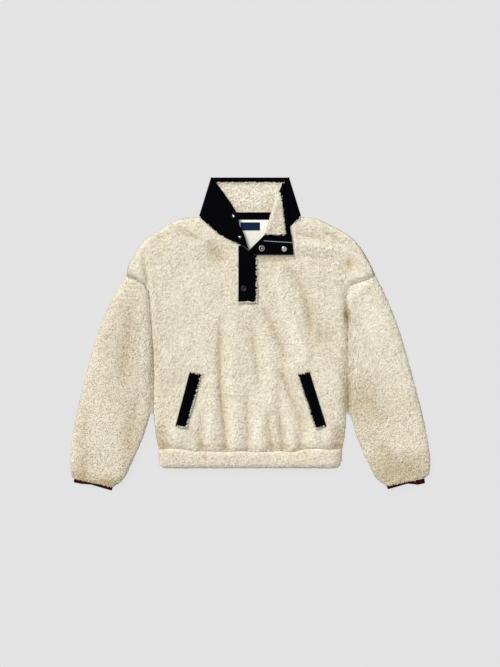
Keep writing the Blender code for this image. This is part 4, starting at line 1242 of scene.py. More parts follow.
def fleece_look(tree, shader):
    fleece = bpy.context.scene.pullover_fleece
    curls = add_node(tree, "ShaderNodeGroup", node_tree=curly_pile_group())
    # The pile's painted light and shade comes in from its attribute
    set_inputs(curls, Place=object_place(tree), Pile=attribute(tree, "pile"),
               Nap=attribute(tree, "nap"), Tip=rgba(fleece.tip_colour),
               Root=rgba(fleece.root_shade_colour), Curl_scale=1.25 / fleece.curl_size)
    set_inputs(shader, Base_Color=curls.outputs["Colour"], Roughness=0.95,
               Specular_IOR_Level=0.15, Sheen_Weight=0.05, Sheen_Roughness=0.6)
    return curls.outputs["Height"], 0.85, 0.0010


def fleece_material():
    """Curly sherpa pile: a matt, softly glowing cloth whose curls come from curly_pile."""
    return new_material("curly_sherpa", fleece_look)


def backing_look(tree, shader):
    colour = bpy.context.scene.pullover_fleece.backing_colour
    knit = add_node(tree, "ShaderNodeGroup", node_tree=woven_cloth_group())
    # The knit's gaps are 0.93 as bright as its loops: painted shade between the loops
    set_inputs(knit, Cloth=object_place(tree), Threads=700.0, Base=rgba(colour, 0.93),
               Ridge=rgba(colour))
    set_inputs(shader, Base_Color=knit.outputs["Colour"], Roughness=0.9, Specular_IOR_Level=0.2)
    return knit.outputs["Height"], 0.3, 0.0004


def backing_material():
    """The fleece's smooth inner side: a fine pale knit."""
    return new_material("fleece_backing", backing_look)


def woven_look(tree, shader, colour, ridge, pitch, roughness):
    weave = add_node(tree, "ShaderNodeGroup", node_tree=woven_cloth_group())
    # The base is painted shade between the threads, and the ridge colour is painted light on them
    set_inputs(weave, Cloth=attribute(tree, "cloth", "Vector"),
               Threads=THREADS_IN_PITCH / pitch, Base=rgba(colour, 0.8), Ridge=rgba(colour, ridge))
    set_inputs(shader, Base_Color=weave.outputs["Colour"], Roughness=roughness,
               Specular_IOR_Level=0.02)
    return weave.outputs["Height"], 0.5, 0.0003


def woven_material(name, colour, ridge=2.2, pitch=None, roughness=0.75):
    """A woven trim whose threads follow the cloth attribute."""
    pitch = pitch or bpy.context.scene.pullover_trims.weave_pitch
    return new_material(name, woven_look, colour, ridge, pitch, roughness)


def snap_look(tree, shader, colour, roughness, metallic):
    spots = add_node(tree, "ShaderNodeTexNoise", {"Vector": object_place(tree), "Scale": 700.0,
                                                  "Detail": 3.0}).outputs[0]
    tarnish = mix_colours(tree, map_range(tree, spots, 0.35, 0.7), rgba(colour), rgba(colour, 0.6))
    set_inputs(shader, Base_Color=tarnish, Metallic=metallic,
               Roughness=map_range(tree, spots, 0.3, 0.7, 0.7 * roughness, 1.4 * roughness))
    return spots, 0.15, 0.0002


def snap_material(name, colour, roughness, metallic):
    """Metal of a snap: fine noise in its bump and roughness, and a little tarnish."""
    return new_material(name, snap_look, colour, roughness, metallic)


# --- operators

FRONT_ROWS = 272
FRONT_CELLS = (52, 60, 18)  # to the neck, to the side, between the slit's edges
BACK_ROWS = 136
BACK_CELLS = (24, 30, 16)
BACK_MIDDLE = (-30.0, 30.0)  # where the back's columns stand as at the front's slit
COARSE = 8  # rows of a pile side for one row of its inner side

SLEEVE_CELLS = (232, 88)  # along the sleeve, from fold to fold
TUBE_SPARE = 4  # columns of a tube's top for one of its underside
HEM_CELLS = (32, 236)
# Spacing of the stations along the collar, for its cloth, its lining and its stitches
COLLAR_STEP, LINING_STEP, STITCHED_STEP = 3.6, 1.9, 6.0
COLLAR_SHARES = np.linspace(0.0, 1.0, 25)
LINING_SHARES = np.linspace(0.0, 1.0, 49)
LINING_LINES = 42  # points from the lining's neck seam to the facing
UNDERSIDE_PILE = 0.35  # height of the pile on a side that doesn't show it
CUFF_RIBS = 34  # ribs of a cuff's binding all round
SNAP_SEGMENTS = 48

made = {}  # pile sides, for the tufts: name -> (points, normals)


def nap_of(points):
    """Painted light and shade on the pile: painted shade in the creases' troughs and low down at
    the rims, a little painted light on the ridges, and the patches of painted light and shade.
    """
    plan = points[..., :2]
    upper = smooth_step((points[..., 2] - 4.0) / 3.0)
    creases = crease_heights(plan)
    # Painted shade in the creases' troughs and a little painted light on their ridges, then
    # painted shade low down at the rims
    nap = CREASE_PAINTED_SHADE * np.where(creases < 0.0, creases, 0.35 * creases) * looseness(plan) * upper
    nap -= RIM_PAINTED_SHADE * smooth_step((RIM_SHADE_LEVEL - points[..., 2]) / RIM_SHADE_LEVEL)
    # Patches of painted light and shade
    for x, y, reach_x, reach_y, change in PAINTED_SHADE_PATCHES:
        away = ((points[..., 0] - x) / reach_x) ** 2 + ((points[..., 1] - y) / reach_y) ** 2
        nap += change * np.exp(-away)
    return nap


def add_fleece(name, upper, lower, nodes, closed=False, keep=None, depth=1.0, seed=11,
               backing=True):
    """A fleece wall: the upper grid gets the curly pile, the lower one is the smooth side."""
    normals = grid_normals(upper, closed)
    piled, height = curl_pile(upper, normals, depth, seed)
    piled[..., 2] = np.maximum(piled[..., 2], 0.0)
    rows, columns = upper.shape[:2]
    coarse = lower[::COARSE]
    points = np.concatenate([piled.reshape(-1, 3), coarse.reshape(-1, 3)])
    groups = wall_faces(rows, columns, COARSE, keep, closed)
    heights = np.concatenate([height.ravel(), np.full(coarse.shape[0] * columns, UNDERSIDE_PILE)])
    # The pile's painted light and shade goes on as an attribute
    piece = add_piece(name, points, groups, fleece_material(), "sherpa_fleece", nodes,
                      pile=heights, nap=nap_of(points), cloth=points * MM)
    if backing:
        piece.data.materials.append(backing_material())
        index = np.zeros(len(piece.data.polygons), np.int32)
        index[len(groups[0]):len(groups[0]) + len(groups[1])] = 1
        piece.data.polygons.foreach_set("material_index", index)
    made[name] = (piled, normals)
    return piece


def add_cloth(name, upper, lower, material, slot, node, closed=False, bevel=0.35):
    """A thin woven wall between two grids of one size, with softened edges."""
    points = np.concatenate([upper.reshape(-1, 3), lower.reshape(-1, 3)])
    groups = wall_faces(*upper.shape[:2], 1, None, closed)
    cloth = cloth_lengths(upper).reshape(-1, 3)
    piece = add_piece(name, points, groups, material, slot, [node],
                      cloth=np.concatenate([cloth, cloth]))
    if bevel:
        edge = piece.modifiers.new("soft edge", "BEVEL")
        edge.width = bevel * MM
        edge.segments = 2
        edge.limit_method = "ANGLE"
        edge.angle_limit = math.radians(50.0)
    return piece


def add_band(name, plan, low, thick, material, slot, node, flat, rests_on, bevel=0.35, **area):
    """A woven band that lies on something: a wall of one thickness over a plan grid."""
    piece = add_cloth(name, with_level(plan, low + thick), with_level(plan, low), material, slot,
                      node, bevel=bevel)
    return piece


class PULLOVER_OT_front(bpy.types.Operator):
    """Front panel: pile outside, smooth backing inside, slit under the placket"""
    bl_idname = "pullover.front"
    bl_label = "Front panel"

    def execute(self, context):
        slit = (PLACKET_LEFT + SLIT_MARGIN, PLACKET_RIGHT - SLIT_MARGIN)
        heights = np.linspace(BODY_SIDES[0][0], BODY_SIDES[-1][0], FRONT_ROWS + 1)
        plan = panel_plan(FRONT_NECK, slit, heights, *FRONT_CELLS)
        closed, inward = outline_distance(plan)
        floor = SEAM_LEVEL + GAP
        round_top = rounded(closed, ROUND_TOP)
        level = front_level(plan)
        top = floor + (level - floor) * round_top
        under = floor + (np.maximum(level - FLEECE, LOWEST_UNDER) - floor) * round_top
        inset = FLEECE * np.clip(1.0 - closed / ROUND_TOP, 0.0, 1.0)
        upper = with_level(seam_sag(plan), top)
        lower = with_level(seam_sag(plan + evened(inward) * inset[..., None]), under)
        keep = np.ones((FRONT_ROWS // COARSE, plan.shape[1] - 1), bool)
        first = sum(FRONT_CELLS[:2])
        slit_rows = plan[:-1:COARSE, first, 1] > PLACKET_BOTTOM + SLIT_MARGIN
        keep[np.ix_(slit_rows, np.arange(first, first + FRONT_CELLS[2]))] = False
        piece = add_fleece("front_fleece", upper, lower, ["front_panel"], keep=keep,
                           depth=0.6 + 0.4 * looseness(plan))
        return {"FINISHED"}


class PULLOVER_OT_back(bpy.types.Operator):
    """Back panel: it lies on its pile, with the smooth side up"""
    bl_idname = "pullover.back"
    bl_label = "Back panel"

    def execute(self, context):
        heights = np.linspace(BODY_SIDES[0][0], BODY_SIDES[-1][0], BACK_ROWS + 1)
        plan = panel_plan(BACK_NECK, BACK_MIDDLE, heights, *BACK_CELLS)
        closed, inward = outline_distance(plan)
        rise = 1.0 - rounded(closed, ROUND_UNDER)
        inset = FLEECE * np.clip(1.0 - closed / ROUND_UNDER, 0.0, 1.0)
        top = np.clip(FLEECE + (SEAM_LEVEL - FLEECE) * rise, FLEECE, SEAM_LEVEL)
        pile_side = with_level(plan, SEAM_LEVEL * rise)[:, ::-1]
        inner = with_level(plan + evened(inward) * inset[..., None], top)[:, ::-1]
        piece = add_fleece("back_fleece", pile_side, inner, ["back_panel"], depth=0.8, seed=12)
        return {"FINISHED"}


class PULLOVER_OT_sleeves(bpy.types.Operator):
    """Both sleeves, as flattened tubes, with their bound cuff edges"""
    bl_idname = "pullover.sleeves"
    bl_label = "Sleeves and cuffs"

    def execute(self, context):
        for seed, side in enumerate(("right", "left"), 13):
            outer, inner = sleeve_rings(side)
            self.cuff(side, outer[-1], inner[-1])
            if side == "left":
                outer, inner = outer[:, ::-1], inner[:, ::-1]
            piece = add_fleece(f"sleeve_{side}_fleece", outer[::-1], inner[::-1],
                               [f"sleeve_{side}"], closed=True, seed=seed)
        return {"FINISHED"}

    def cuff(self, side, outer_end, inner_end):
        """A bound edge: the sleeve's last ring carried on past it, ribbed, a little narrower
        towards its own edge, and deeper where the cuff stands open."""
        along = outer_end[SLEEVE_CELLS[1], :2] - outer_end[0, :2]
        out = np.array((along[1], -along[0], 0.0)) * (-1.0 if side == "right" else 1.0)
        out /= np.linalg.norm(out)
        if out[1] > 0:
            out = -out
        share = np.clip(((outer_end[:, :2] - outer_end[0, :2]) @ along) / (along @ along), 0, 1)
        outer_depth, inner_depth = CUFF_DEPTHS[side]
        depth = np.interp(share, (0.0, 0.2, 0.45, 1.0),
                          (outer_depth, outer_depth, 5.0, inner_depth))
        middle = 0.5 * (outer_end.max(axis=0) + outer_end.min(axis=0))
        ribs = 0.25 * np.sin(share * 2.0 * np.pi * CUFF_RIBS)
        rings_out, rings_in = [], []
        for step in np.linspace(0.0, 1.0, 9):
            reach = GAP + step * (depth - GAP)
            bulge = math.sin(math.pi * step)
            puff = 1.0 - 0.05 * step + 0.04 * bulge - 0.30 * step ** 6
            for rings, end, rib, height in ((rings_out, outer_end, ribs, puff),
                                            (rings_in, inner_end, 0.0, 0.95)):
                ring = middle + (end - middle) * (0.985 - 0.02 * step)
                over = end[:, 2] - SEAM_LEVEL
                ring[:, 2] = np.maximum(SEAM_LEVEL + over * height + rib * np.sign(over) * bulge,
                                        0.0)
                rings.append(ring + reach[:, None] * out)
        upper, lower = np.array(rings_out), np.array(rings_in)
        upper, lower = (upper[::-1], lower[::-1]) if side == "right" else (upper, lower)
        material = woven_material("binding_red",
                                  bpy.context.scene.pullover_trims.binding_colour, ridge=1.6)
        piece = add_cloth(f"cuff_{side}_binding", upper, lower, material, "cuff_binding_red",
                          f"cuff_binding_{side}", closed=True, bevel=0.0)


class PULLOVER_OT_hem(bpy.types.Operator):
    """Hem band: a flattened elastic ring with rounded lower corners"""
    bl_idname = "pullover.hem"
    bl_label = "Hem band"

    def execute(self, context):
        table = np.array(HEM_BAND)
        y = np.linspace(table[-1, 0], table[0, 0], HEM_CELLS[0] + 1)[::-1]
        rows = soft_curve(y, table[::-1, 0], table[::-1, 1:])
        left, right, level = rows[:, :1], rows[:, 1:2], rows[:, 2:]
        x = left + (right - left) * crowded_both(HEM_CELLS[1])
        plan = np.stack([x, np.broadcast_to(y[:, None], x.shape)], axis=-1)
        closed = np.minimum(x - left, right - x)
        share = (y[:, None] - y[0]) / (y[-1] - y[0])
        level = level + (crease_heights(plan) * 0.8 + 0.5 * swell(plan)) * (1.0 - 0.7 * share)
        wall = np.minimum(HEM_WALL, 0.5 * level - 0.3)
        outer, inner = tube_rings(plan, closed, side_inward(plan), level, wall)
        for rings in (outer, inner):
            rings[..., :2] = seam_sag(rings[..., :2])
        piece = add_fleece("hem_band_fleece", outer[::-1], inner[::-1], ["hem_band"],
                           closed=True, depth=0.6, seed=15)
        return {"FINISHED"}


class PULLOVER_OT_collar(bpy.types.Operator):
    """Collar: woven outside, fleece lining and the woven facing along its top edge"""
    bl_idname = "pullover.collar"
    bl_label = "Collar"

    def execute(self, context):
        trims = context.scene.pullover_trims
        navy = woven_material("navy_twill", trims.woven_colour)
        half_gap = 0.5 * GAP
        surface, normal, turned, _ = collar_surface(COLLAR_SHARES, COLLAR_STEP)
        outer = add_cloth("collar_woven", surface + normal * (half_gap + WOVEN),
                          surface + normal * half_gap, navy, "navy_woven", "collar_outer")
        facing_last = turned + int((surface[turned:, -1, 1] > BAND_SEAM_Y + 1.0).sum())
        at = np.linspace(1.0 - FACING_SHARE * 0.92, 1.0, 6)
        facing = np.array([read_line(at, COLLAR_SHARES, line) for line in surface[:facing_last]])
        facing_normal = np.broadcast_to(normal[:facing_last, -1:], facing.shape)
        flip = slice(None, None, -1)
        piece = add_cloth("collar_facing_woven",
                          (facing - facing_normal * (half_gap + WOVEN))[:, flip],
                          (facing - facing_normal * half_gap)[:, flip], navy, "navy_woven",
                          "collar_edge_facing")
        lines, normals = lining_lines(*collar_surface(LINING_SHARES, LINING_STEP))
        extra = (lines.shape[0] - 1) % COARSE
        pick = np.unique(np.round(np.linspace(0, lines.shape[0] - 1,
                                              lines.shape[0] - extra)).astype(int))
        lines, normals = lines[pick][:, flip], normals[pick][:, flip]
        piece = add_fleece("collar_lining_fleece", lines - normals * (half_gap + COLLAR_FLEECE),
                           lines - normals * half_gap, ["collar_lining"], depth=0.8, seed=17,
                           backing=False)
        return {"FINISHED"}


class PULLOVER_OT_placket(bpy.types.Operator):
    """Placket: the overlap, the underlap and the turned band with its pale edge thread"""
    bl_idname = "pullover.placket"
    bl_label = "Placket"

    def execute(self, context):
        trims = context.scene.pullover_trims
        navy = woven_material("navy_twill", trims.woven_colour)
        plan = upright_plan(PLACKET_BOTTOM, OVERLAP_TOP, 64, 20)
        wave = 0.35 * np.sin(plan[..., 1] / 11.0) * np.exp(-((plan[..., 0] + 27.0) / 9.0) ** 2)
        add_band("placket_overlap_woven", plan, BODY_LEVEL + GAP + wave + 0.35, WOVEN, navy,
                 "navy_woven", "placket_overlap", (0.0436, 0.135), ["front_fleece"])
        plan = upright_plan(UNDERLAP_BOTTOM, UNDERLAP_TOP, 40, 12)
        add_band("placket_underlap_woven", plan, BODY_LEVEL - WOVEN, WOVEN, navy, "navy_woven",
                 "placket_underlap", (0.030, 0.117), ["back_fleece"])
        add_band("placket_band_woven", band_plan(TURNED_BAND, 22, 46), turned_level(), WOVEN, navy,
                 "navy_woven", "placket_band_turned", (0.1045, 0.047), ["collar_woven"],
                 area=0.0041)
        self.edge_thread(turned_level() + WOVEN, trims.edge_colour)
        return {"FINISHED"}

    def edge_thread(self, level, colour):
        """A half-round cord of thread laid along the turned band."""
        count = 80
        path = resample(EDGE_THREAD, np.linspace(0.0, 1.0, count))
        across = left_of(np.gradient(path, axis=0))[:, :2]
        angle = np.linspace(0.0, 2.0 * np.pi, 11)[:-1]
        twist = 0.12 * np.sin(np.arange(count) * 1.9)
        radius = (0.75 + twist)[:, None]
        points = np.concatenate(
            [path[:, None] + across[:, None] * (radius * np.cos(angle))[..., None],
             (level + 0.15 + 0.55 * radius * np.sin(angle))[..., None]], axis=-1)
        ring = grid_numbers(points.shape[:2], closed=True)
        groups = [quads_of(ring)[:, ::-1], ring[:1, :-1], ring[-1:, -2::-1]]
        material = woven_material("edge_thread_grey", colour, ridge=1.3, pitch=0.5 * MM)
        flat = points.reshape(-1, 3)
        add_piece("placket_edge_thread", flat, groups, material, "navy_woven", cloth=flat * MM)


class PULLOVER_OT_neck(bpy.types.Operator):
    """Neck tape and the plain neck label on the back's inner side"""
    bl_idname = "pullover.neck"
    bl_label = "Neck tape and label"

    def execute(self, context):
        trims = context.scene.pullover_trims
        lying = FLEECE + GAP
        add_band("neck_tape_woven", oblong(TAPE, 8, 60), lying, TAPE_THICK,
                 woven_material("navy_twill", trims.woven_colour), "navy_woven", "neck_tape",
                 (0.172, 0.017), ["back_fleece"], bevel=0.2)
        material = woven_material("label_satin", trims.label_colour, ridge=1.6, pitch=0.5 * MM,
                                  roughness=0.5)
        add_band("neck_label_woven", oblong(LABEL, 12, 24), lying, LABEL_THICK, material,
                 "label_blue", "neck_label", (0.045, 0.019), ["back_fleece"], bevel=0.2)
        return {"FINISHED"}


class PULLOVER_OT_welts(bpy.types.Operator):
    """Both slanting pocket welts, which follow the front under them"""
    bl_idname = "pullover.welts"
    bl_label = "Pocket welts"

    def execute(self, context):
        navy = woven_material("navy_twill", context.scene.pullover_trims.woven_colour)
        for side in ("right", "left"):
            plan = welt_plan(side)
            share = np.linspace(0.0, 1.0, plan.shape[1])
            open_side = (1.0 - share if side == "right" else share) ** 3
            add_band(f"pocket_welt_{side}_woven", plan, welt_low(plan) + 0.9 * open_side,
                     WELT_THICK, navy, "navy_woven", f"pocket_welt_{side}", (0.028, 0.131),
                     ["front_fleece"], bevel=0.5)
        return {"FINISHED"}


def turned_ring(profile, segments):
    """Points and faces of a profile turned round the Z axis, closed at its two ends on the
    axis: x is the radius times the cosine and y the radius times the sine of the turn."""
    profile = np.array(profile, float)
    angle = 2.0 * np.pi * np.arange(segments) / segments
    radius = profile[1:-1, :1]
    around = radius * np.cos(angle)
    points = np.stack([around, radius * np.sin(angle),
                       np.broadcast_to(profile[1:-1, 1:], around.shape)], axis=-1)
    ring = grid_numbers(points.shape[:2], 1, closed=True)
    first = np.stack([ring[0, :-1], ring[0, 1:], np.zeros(segments, int)], axis=-1)
    end = np.full(segments, points[..., 0].size + 1)
    last = np.stack([ring[-1, 1:], ring[-1, :-1], end], axis=-1)
    points = np.concatenate([[(0.0, 0.0, profile[0, 1])], points.reshape(-1, 3),
                             [(0.0, 0.0, profile[-1, 1])]])
    return points, [quads_of(ring)[:, ::-1], first, last]


# Half sections of the snaps, from the middle of the top: shares of the radius and the height
SNAP_PROFILES = {
    "socket": ((0.0, 0.35), (0.30, 0.35), (0.40, 0.40), (0.44, 0.85), (0.50, 1.0), (0.62, 0.98),
               (0.70, 0.84), (0.76, 0.80), (0.84, 0.92), (0.92, 0.86), (0.98, 0.60),
               (1.0, 0.30), (1.0, 0.0), (0.0, 0.0)),
    "cap": ((0.0, 0.92), (0.25, 0.93), (0.45, 0.88), (0.52, 0.80), (0.58, 0.86), (0.72, 0.84),
            (0.86, 0.70), (0.95, 0.48), (1.0, 0.25), (1.0, 0.0), (0.0, 0.0)),
    "stud": ((0.0, 1.0), (0.20, 0.99), (0.32, 0.93), (0.38, 0.82), (0.36, 0.60), (0.40, 0.42),
             (0.56, 0.36), (0.80, 0.34), (0.95, 0.26), (1.0, 0.12), (1.0, 0.0), (0.0, 0.0)),
    "closed": ((0.0, 0.62), (0.40, 0.64), (0.60, 0.66), (0.66, 0.82), (0.74, 0.98),
               (0.84, 0.96), (0.94, 0.74), (1.0, 0.40), (1.0, 0.0), (0.0, 0.0)),
}

# Shares of the radius between which a snap's faces take the dark material as painted shade: round
# the socket's inner ring, round the cap's rim and over the stud's flange. The closed snap is dark
# all over, its own enamel.
SNAP_PAINTED_SHADE = {"socket": (0.34, 0.66), "cap": (0.86, 1.1), "stud": (0.52, 1.1),
               "closed": (2.0, 3.0)}


class PULLOVER_OT_snaps(bpy.types.Operator):
    """Snaps: a ring socket, a domed cap, two studs and the closed one"""
    bl_idname = "pullover.snaps"
    bl_label = "Snaps"

    def execute(self, context):
        snaps = context.scene.pullover_snaps
        steel = snap_material("bright_steel", snaps.steel_colour, 0.24, 1.0)
        # The dark material is the closed snap's enamel and the painted shade on the bright snaps
        dark = snap_material("enamel_and_painted_shade", snaps.dark_colour, 0.38, 0.3)
        for node, x, y, radius, height, kind in SNAPS:
            low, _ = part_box(node)
            profile = np.array(SNAP_PROFILES[kind]) * (radius, height)
            points, groups = turned_ring(profile, SNAP_SEGMENTS)
            points = points + (x, y, low.z / MM)
            bright = kind != "closed"
            piece = add_piece(node.replace("snap_", "snap_metal_"), points, groups,
                              steel if bright else dark,
                              "snap_steel" if bright else "snap_dark", [node])
            # Painted shade: the faces in the kind's band take the dark material
            low_share, high_share = SNAP_PAINTED_SHADE[kind]
            piece.data.materials.append(dark)
            away = [math.hypot(face.center.x - x * MM, face.center.y - y * MM)
                    for face in piece.data.polygons]
            share = np.array(away) / (radius * MM)
            shaded = ((share > low_share) & (share < high_share)).astype(np.int32)
            piece.data.polygons.foreach_set("material_index", shaded)
        return {"FINISHED"}


# --- tufts and stitches

def beside_trims(flat, up):
    """1 where the pile shows, 0 under a trim and little on an underside."""
    return (looseness(flat[:, :2]) > 0.35) * np.where(up[:, 2] > -0.2, 1.0, 0.15)


def lining_seen(flat, up):
    """1 where the collar's lining isn't over the neck's opening."""
    return np.where((flat[:, 1] > 289.0)
                    | (flat[:, 0] > 12.0 + 0.414 * (flat[:, 1] - 215.0)), 1.0, 0.0)


def scatter_tufts(source, count, seed, choose, lengths=(1.9, 3.2), widths=(1.2, 1.8)):
    """Tufts spread at random over a pile side, in proportion to its area where it is chosen."""
    points, normals = made[source]
    rng = np.random.default_rng(seed)
    flat, up = points.reshape(-1, 3), normals.reshape(-1, 3)
    area = (np.linalg.norm(np.gradient(points, axis=0), axis=-1)
            * np.linalg.norm(np.gradient(points, axis=1), axis=-1)).ravel()
    weight = area * choose(flat, up)
    pick = rng.choice(len(flat), size=count, replace=False, p=weight / weight.sum())
    return (flat[pick], up[pick], random_leans(up[pick], rng),
            rng.uniform(*lengths, count), rng.uniform(*widths, count))


def fringe(path, normal, lean, spacing, rng, lengths=(2.6, 4.6), widths=(1.9, 2.8), wild=0.5):
    """Tufts along an edge: they sit on the path and lean over it."""
    path = np.array(path, float)
    length = step_lengths(path).sum()
    count = max(int(length / spacing), 2)
    seats = resample(path, np.sort(rng.uniform(0.0, 1.0, count)))
    normals = np.broadcast_to(np.array(normal, float), seats.shape).copy()
    leans = np.broadcast_to(np.array(lean, float), seats.shape) + rng.normal(
        scale=wild, size=seats.shape)
    leans -= normals * (leans * normals).sum(axis=-1, keepdims=True)
    seats = seats + rng.normal(scale=0.8, size=seats.shape) * (1.0, 1.0, 0.3) + (0.0, 0.0, 0.2)
    return (seats, normals, unit(leans), rng.uniform(*lengths, count),
            rng.uniform(*widths, count))


def chopped(line, step):
    """Pieces of a line of points: each has step steps and starts where the last one ends."""
    return [line[start:start + step + 1] for start in range(0, len(line) - step, step)]


def joined(parts):
    return [np.concatenate(columns) for columns in zip(*parts)]


class PULLOVER_OT_tufts(bpy.types.Operator):
    """Curled tufts of the pile, over the fleece and along the trims that they overhang"""
    bl_idname = "pullover.tufts"
    bl_label = "Pile tufts"

    def execute(self, context):
        fleece = fleece_material()
        plans = (("front_tufts", "front_fleece", 11000, 31, beside_trims),
                 ("sleeve_right_tufts", "sleeve_right_fleece", 4200, 32, beside_trims),
                 ("sleeve_left_tufts", "sleeve_left_fleece", 4200, 33, beside_trims),
                 ("hem_tufts", "hem_band_fleece", 1500, 34, beside_trims),
                 ("collar_tufts", "collar_lining_fleece", 3800, 35, lining_seen))
        for name, source, count, seed, choose in plans:
            pile_locks(name, *scatter_tufts(source, count, seed, choose), fleece, seed)
        pile_locks("trim_tufts", *joined(self.trim_edges()), fleece, 36)
        return {"FINISHED"}

    def trim_edges(self):
        """Fringes over the placket's right and bottom edges, the welts' front edges and ends,
        the collar facing, the turned band, the neck seam, the sleeves' ends and the armholes."""
        rng = np.random.default_rng(41)
        up = (0.0, 0.0, 1.0)
        top = BODY_LEVEL + GAP + WOVEN + 0.2
        parts = [
            fringe([(PLACKET_RIGHT + 0.8, 182.0, top), (PLACKET_RIGHT + 0.8, 120.0, top),
                    (PLACKET_RIGHT + 0.8, PLACKET_BOTTOM, top)], up, (-1.0, 0.0, 0.0), 1.5, rng),
            fringe([(PLACKET_LEFT + 0.5, PLACKET_BOTTOM - 0.8, top),
                    (PLACKET_RIGHT, PLACKET_BOTTOM - 0.8, top)], up, (0.0, 1.0, 0.0), 0.8, rng,
                   lengths=(3.0, 5.2)),
        ]
        for side in ("right", "left"):
            plan = welt_plan(side)
            level = welt_low(plan) + WELT_THICK + 0.1
            grid = with_level(plan, level)
            front_column, out = (-1, -1.0) if side == "right" else (0, 1.0)
            lean = (out, 0.15, 0.0)
            parts.append(fringe(grid[:, front_column] - np.array(lean) * 0.8, up, lean, 1.5, rng))
            parts.append(fringe(grid[0] - (0.0, 0.7, 0.0), up, (0.0, 1.0, 0.0), 1.6, rng))
            parts.append(fringe(grid[-1] + (0.0, 0.7, 0.0), up, (0.0, -1.0, 0.0), 1.6, rng))
        points, normals = made["collar_lining_fleece"]
        edge, edge_up, into = points[::4, 1], normals[::4, 1], points[::4, 0] - points[::4, 3]
        for start in range(0, len(edge) - 6, 6):
            parts.append(fringe(edge[start:start + 7], edge_up[start + 3], into[start + 3], 1.6,
                                rng, wild=0.35))
        band = [(x, BAND_SEAM_Y + 0.6, turned_level() + COLLAR_FLEECE - 1.0)
                for x in np.linspace(40.0, 83.0, 5)]
        parts.append(fringe(band, up, (0.0, -1.0, 0.0), 2.2, rng, lengths=(2.0, 3.0)))
        for side, key, limit in ((-1, 1, 30.0), (1, 2, 104.0)):
            line = [(side * x, table_curve(FRONT_NECK, key, x) - 1.0, BODY_LEVEL + 0.3)
                    for x in np.linspace(limit, NECK_HALF - 2.0, 8)]
            parts.append(fringe(line, up, (0.0, 1.0, 0.0), 2.0, rng, lengths=(2.0, 3.2)))
        for side, lean in (("right", (0.5, 0.8, 0.0)), ("left", (-0.5, 0.8, 0.0))):
            ring = made[f"sleeve_{side}_fleece"][0][-2]
            ring = ring[ring[:, 2] > BODY_LEVEL - 4.0]
            parts += [fringe(piece, up, lean, 1.3, rng, lengths=(2.6, 4.4))
                      for piece in chopped(ring, 8)]
        for line in ARMHOLES:
            for lean in ((-1.0, 0.0, 0.3), (1.0, 0.0, 0.3)):
                parts.append(fringe(line, up, lean, 0.9, rng, lengths=(2.6, 4.6)))
        for side in ("right", "left"):
            ring = made[f"sleeve_{side}_fleece"][0][1]
            ring = ring[ring[:, 2] > SEAM_LEVEL]
            parts += [fringe(piece, up, (0.0, -1.0, -0.2), 1.4, rng, lengths=(2.0, 3.2))
                      for piece in chopped(ring, 4)]
        return parts


def left_of(ahead):
    """Unit directions in plan at the left of the ways ahead."""
    return unit(np.stack([-ahead[:, 1], ahead[:, 0], np.zeros(len(ahead))], axis=-1))


def stitch_row(path, pitch, offset=0.12):
    """Stitches along a path: each is a small rounded bar of four rings of four points, wide in
    the middle and narrow at the ends."""
    path = np.array(path, float)
    length = step_lengths(path).sum()
    count = max(int(length / pitch), 1)
    centre = (np.arange(count) + 0.5) / count
    half = 0.36 * pitch / length
    rings = []
    for step, radius in ((-1.0, 0.12), (-0.55, 0.26), (0.55, 0.26), (1.0, 0.12)):
        at = resample(path, np.clip(centre + step * half, 0.0, 1.0))
        ahead = resample(path, np.clip(centre + 0.5 * half, 0, 1)) - resample(
            path, np.clip(centre - 0.5 * half, 0, 1))
        across = left_of(ahead)
        lift = np.array((0.0, 0.0, 1.0))
        for turn_across, turn_up in ((1, 0), (0, 1), (-1, 0), (0, -1)):
            rings.append(at + across * turn_across * radius + lift * (turn_up * radius + offset))
    points = np.stack(rings, axis=1)
    quads = [(ring * 4 + i, ring * 4 + 4 + i, ring * 4 + 4 + (i + 1) % 4, ring * 4 + (i + 1) % 4)
             for ring in range(3) for i in range(4)]
    quads += [(3, 0, 1, 2), (15, 14, 13, 12)]
    return points.reshape(-1, 3), tiled(quads, count, points.shape[1])


def upright(x, low, high, level):
    return [(x, low, level), (x, high, level)]


def level_row(left, right, y, level):
    return [(left, y, level), (right, y, level)]


def inset_line(points, inset):
    """A line moved sideways in plan by inset, to its left."""
    points = np.array(points, float)
    return points + inset * left_of(np.gradient(points, axis=0))


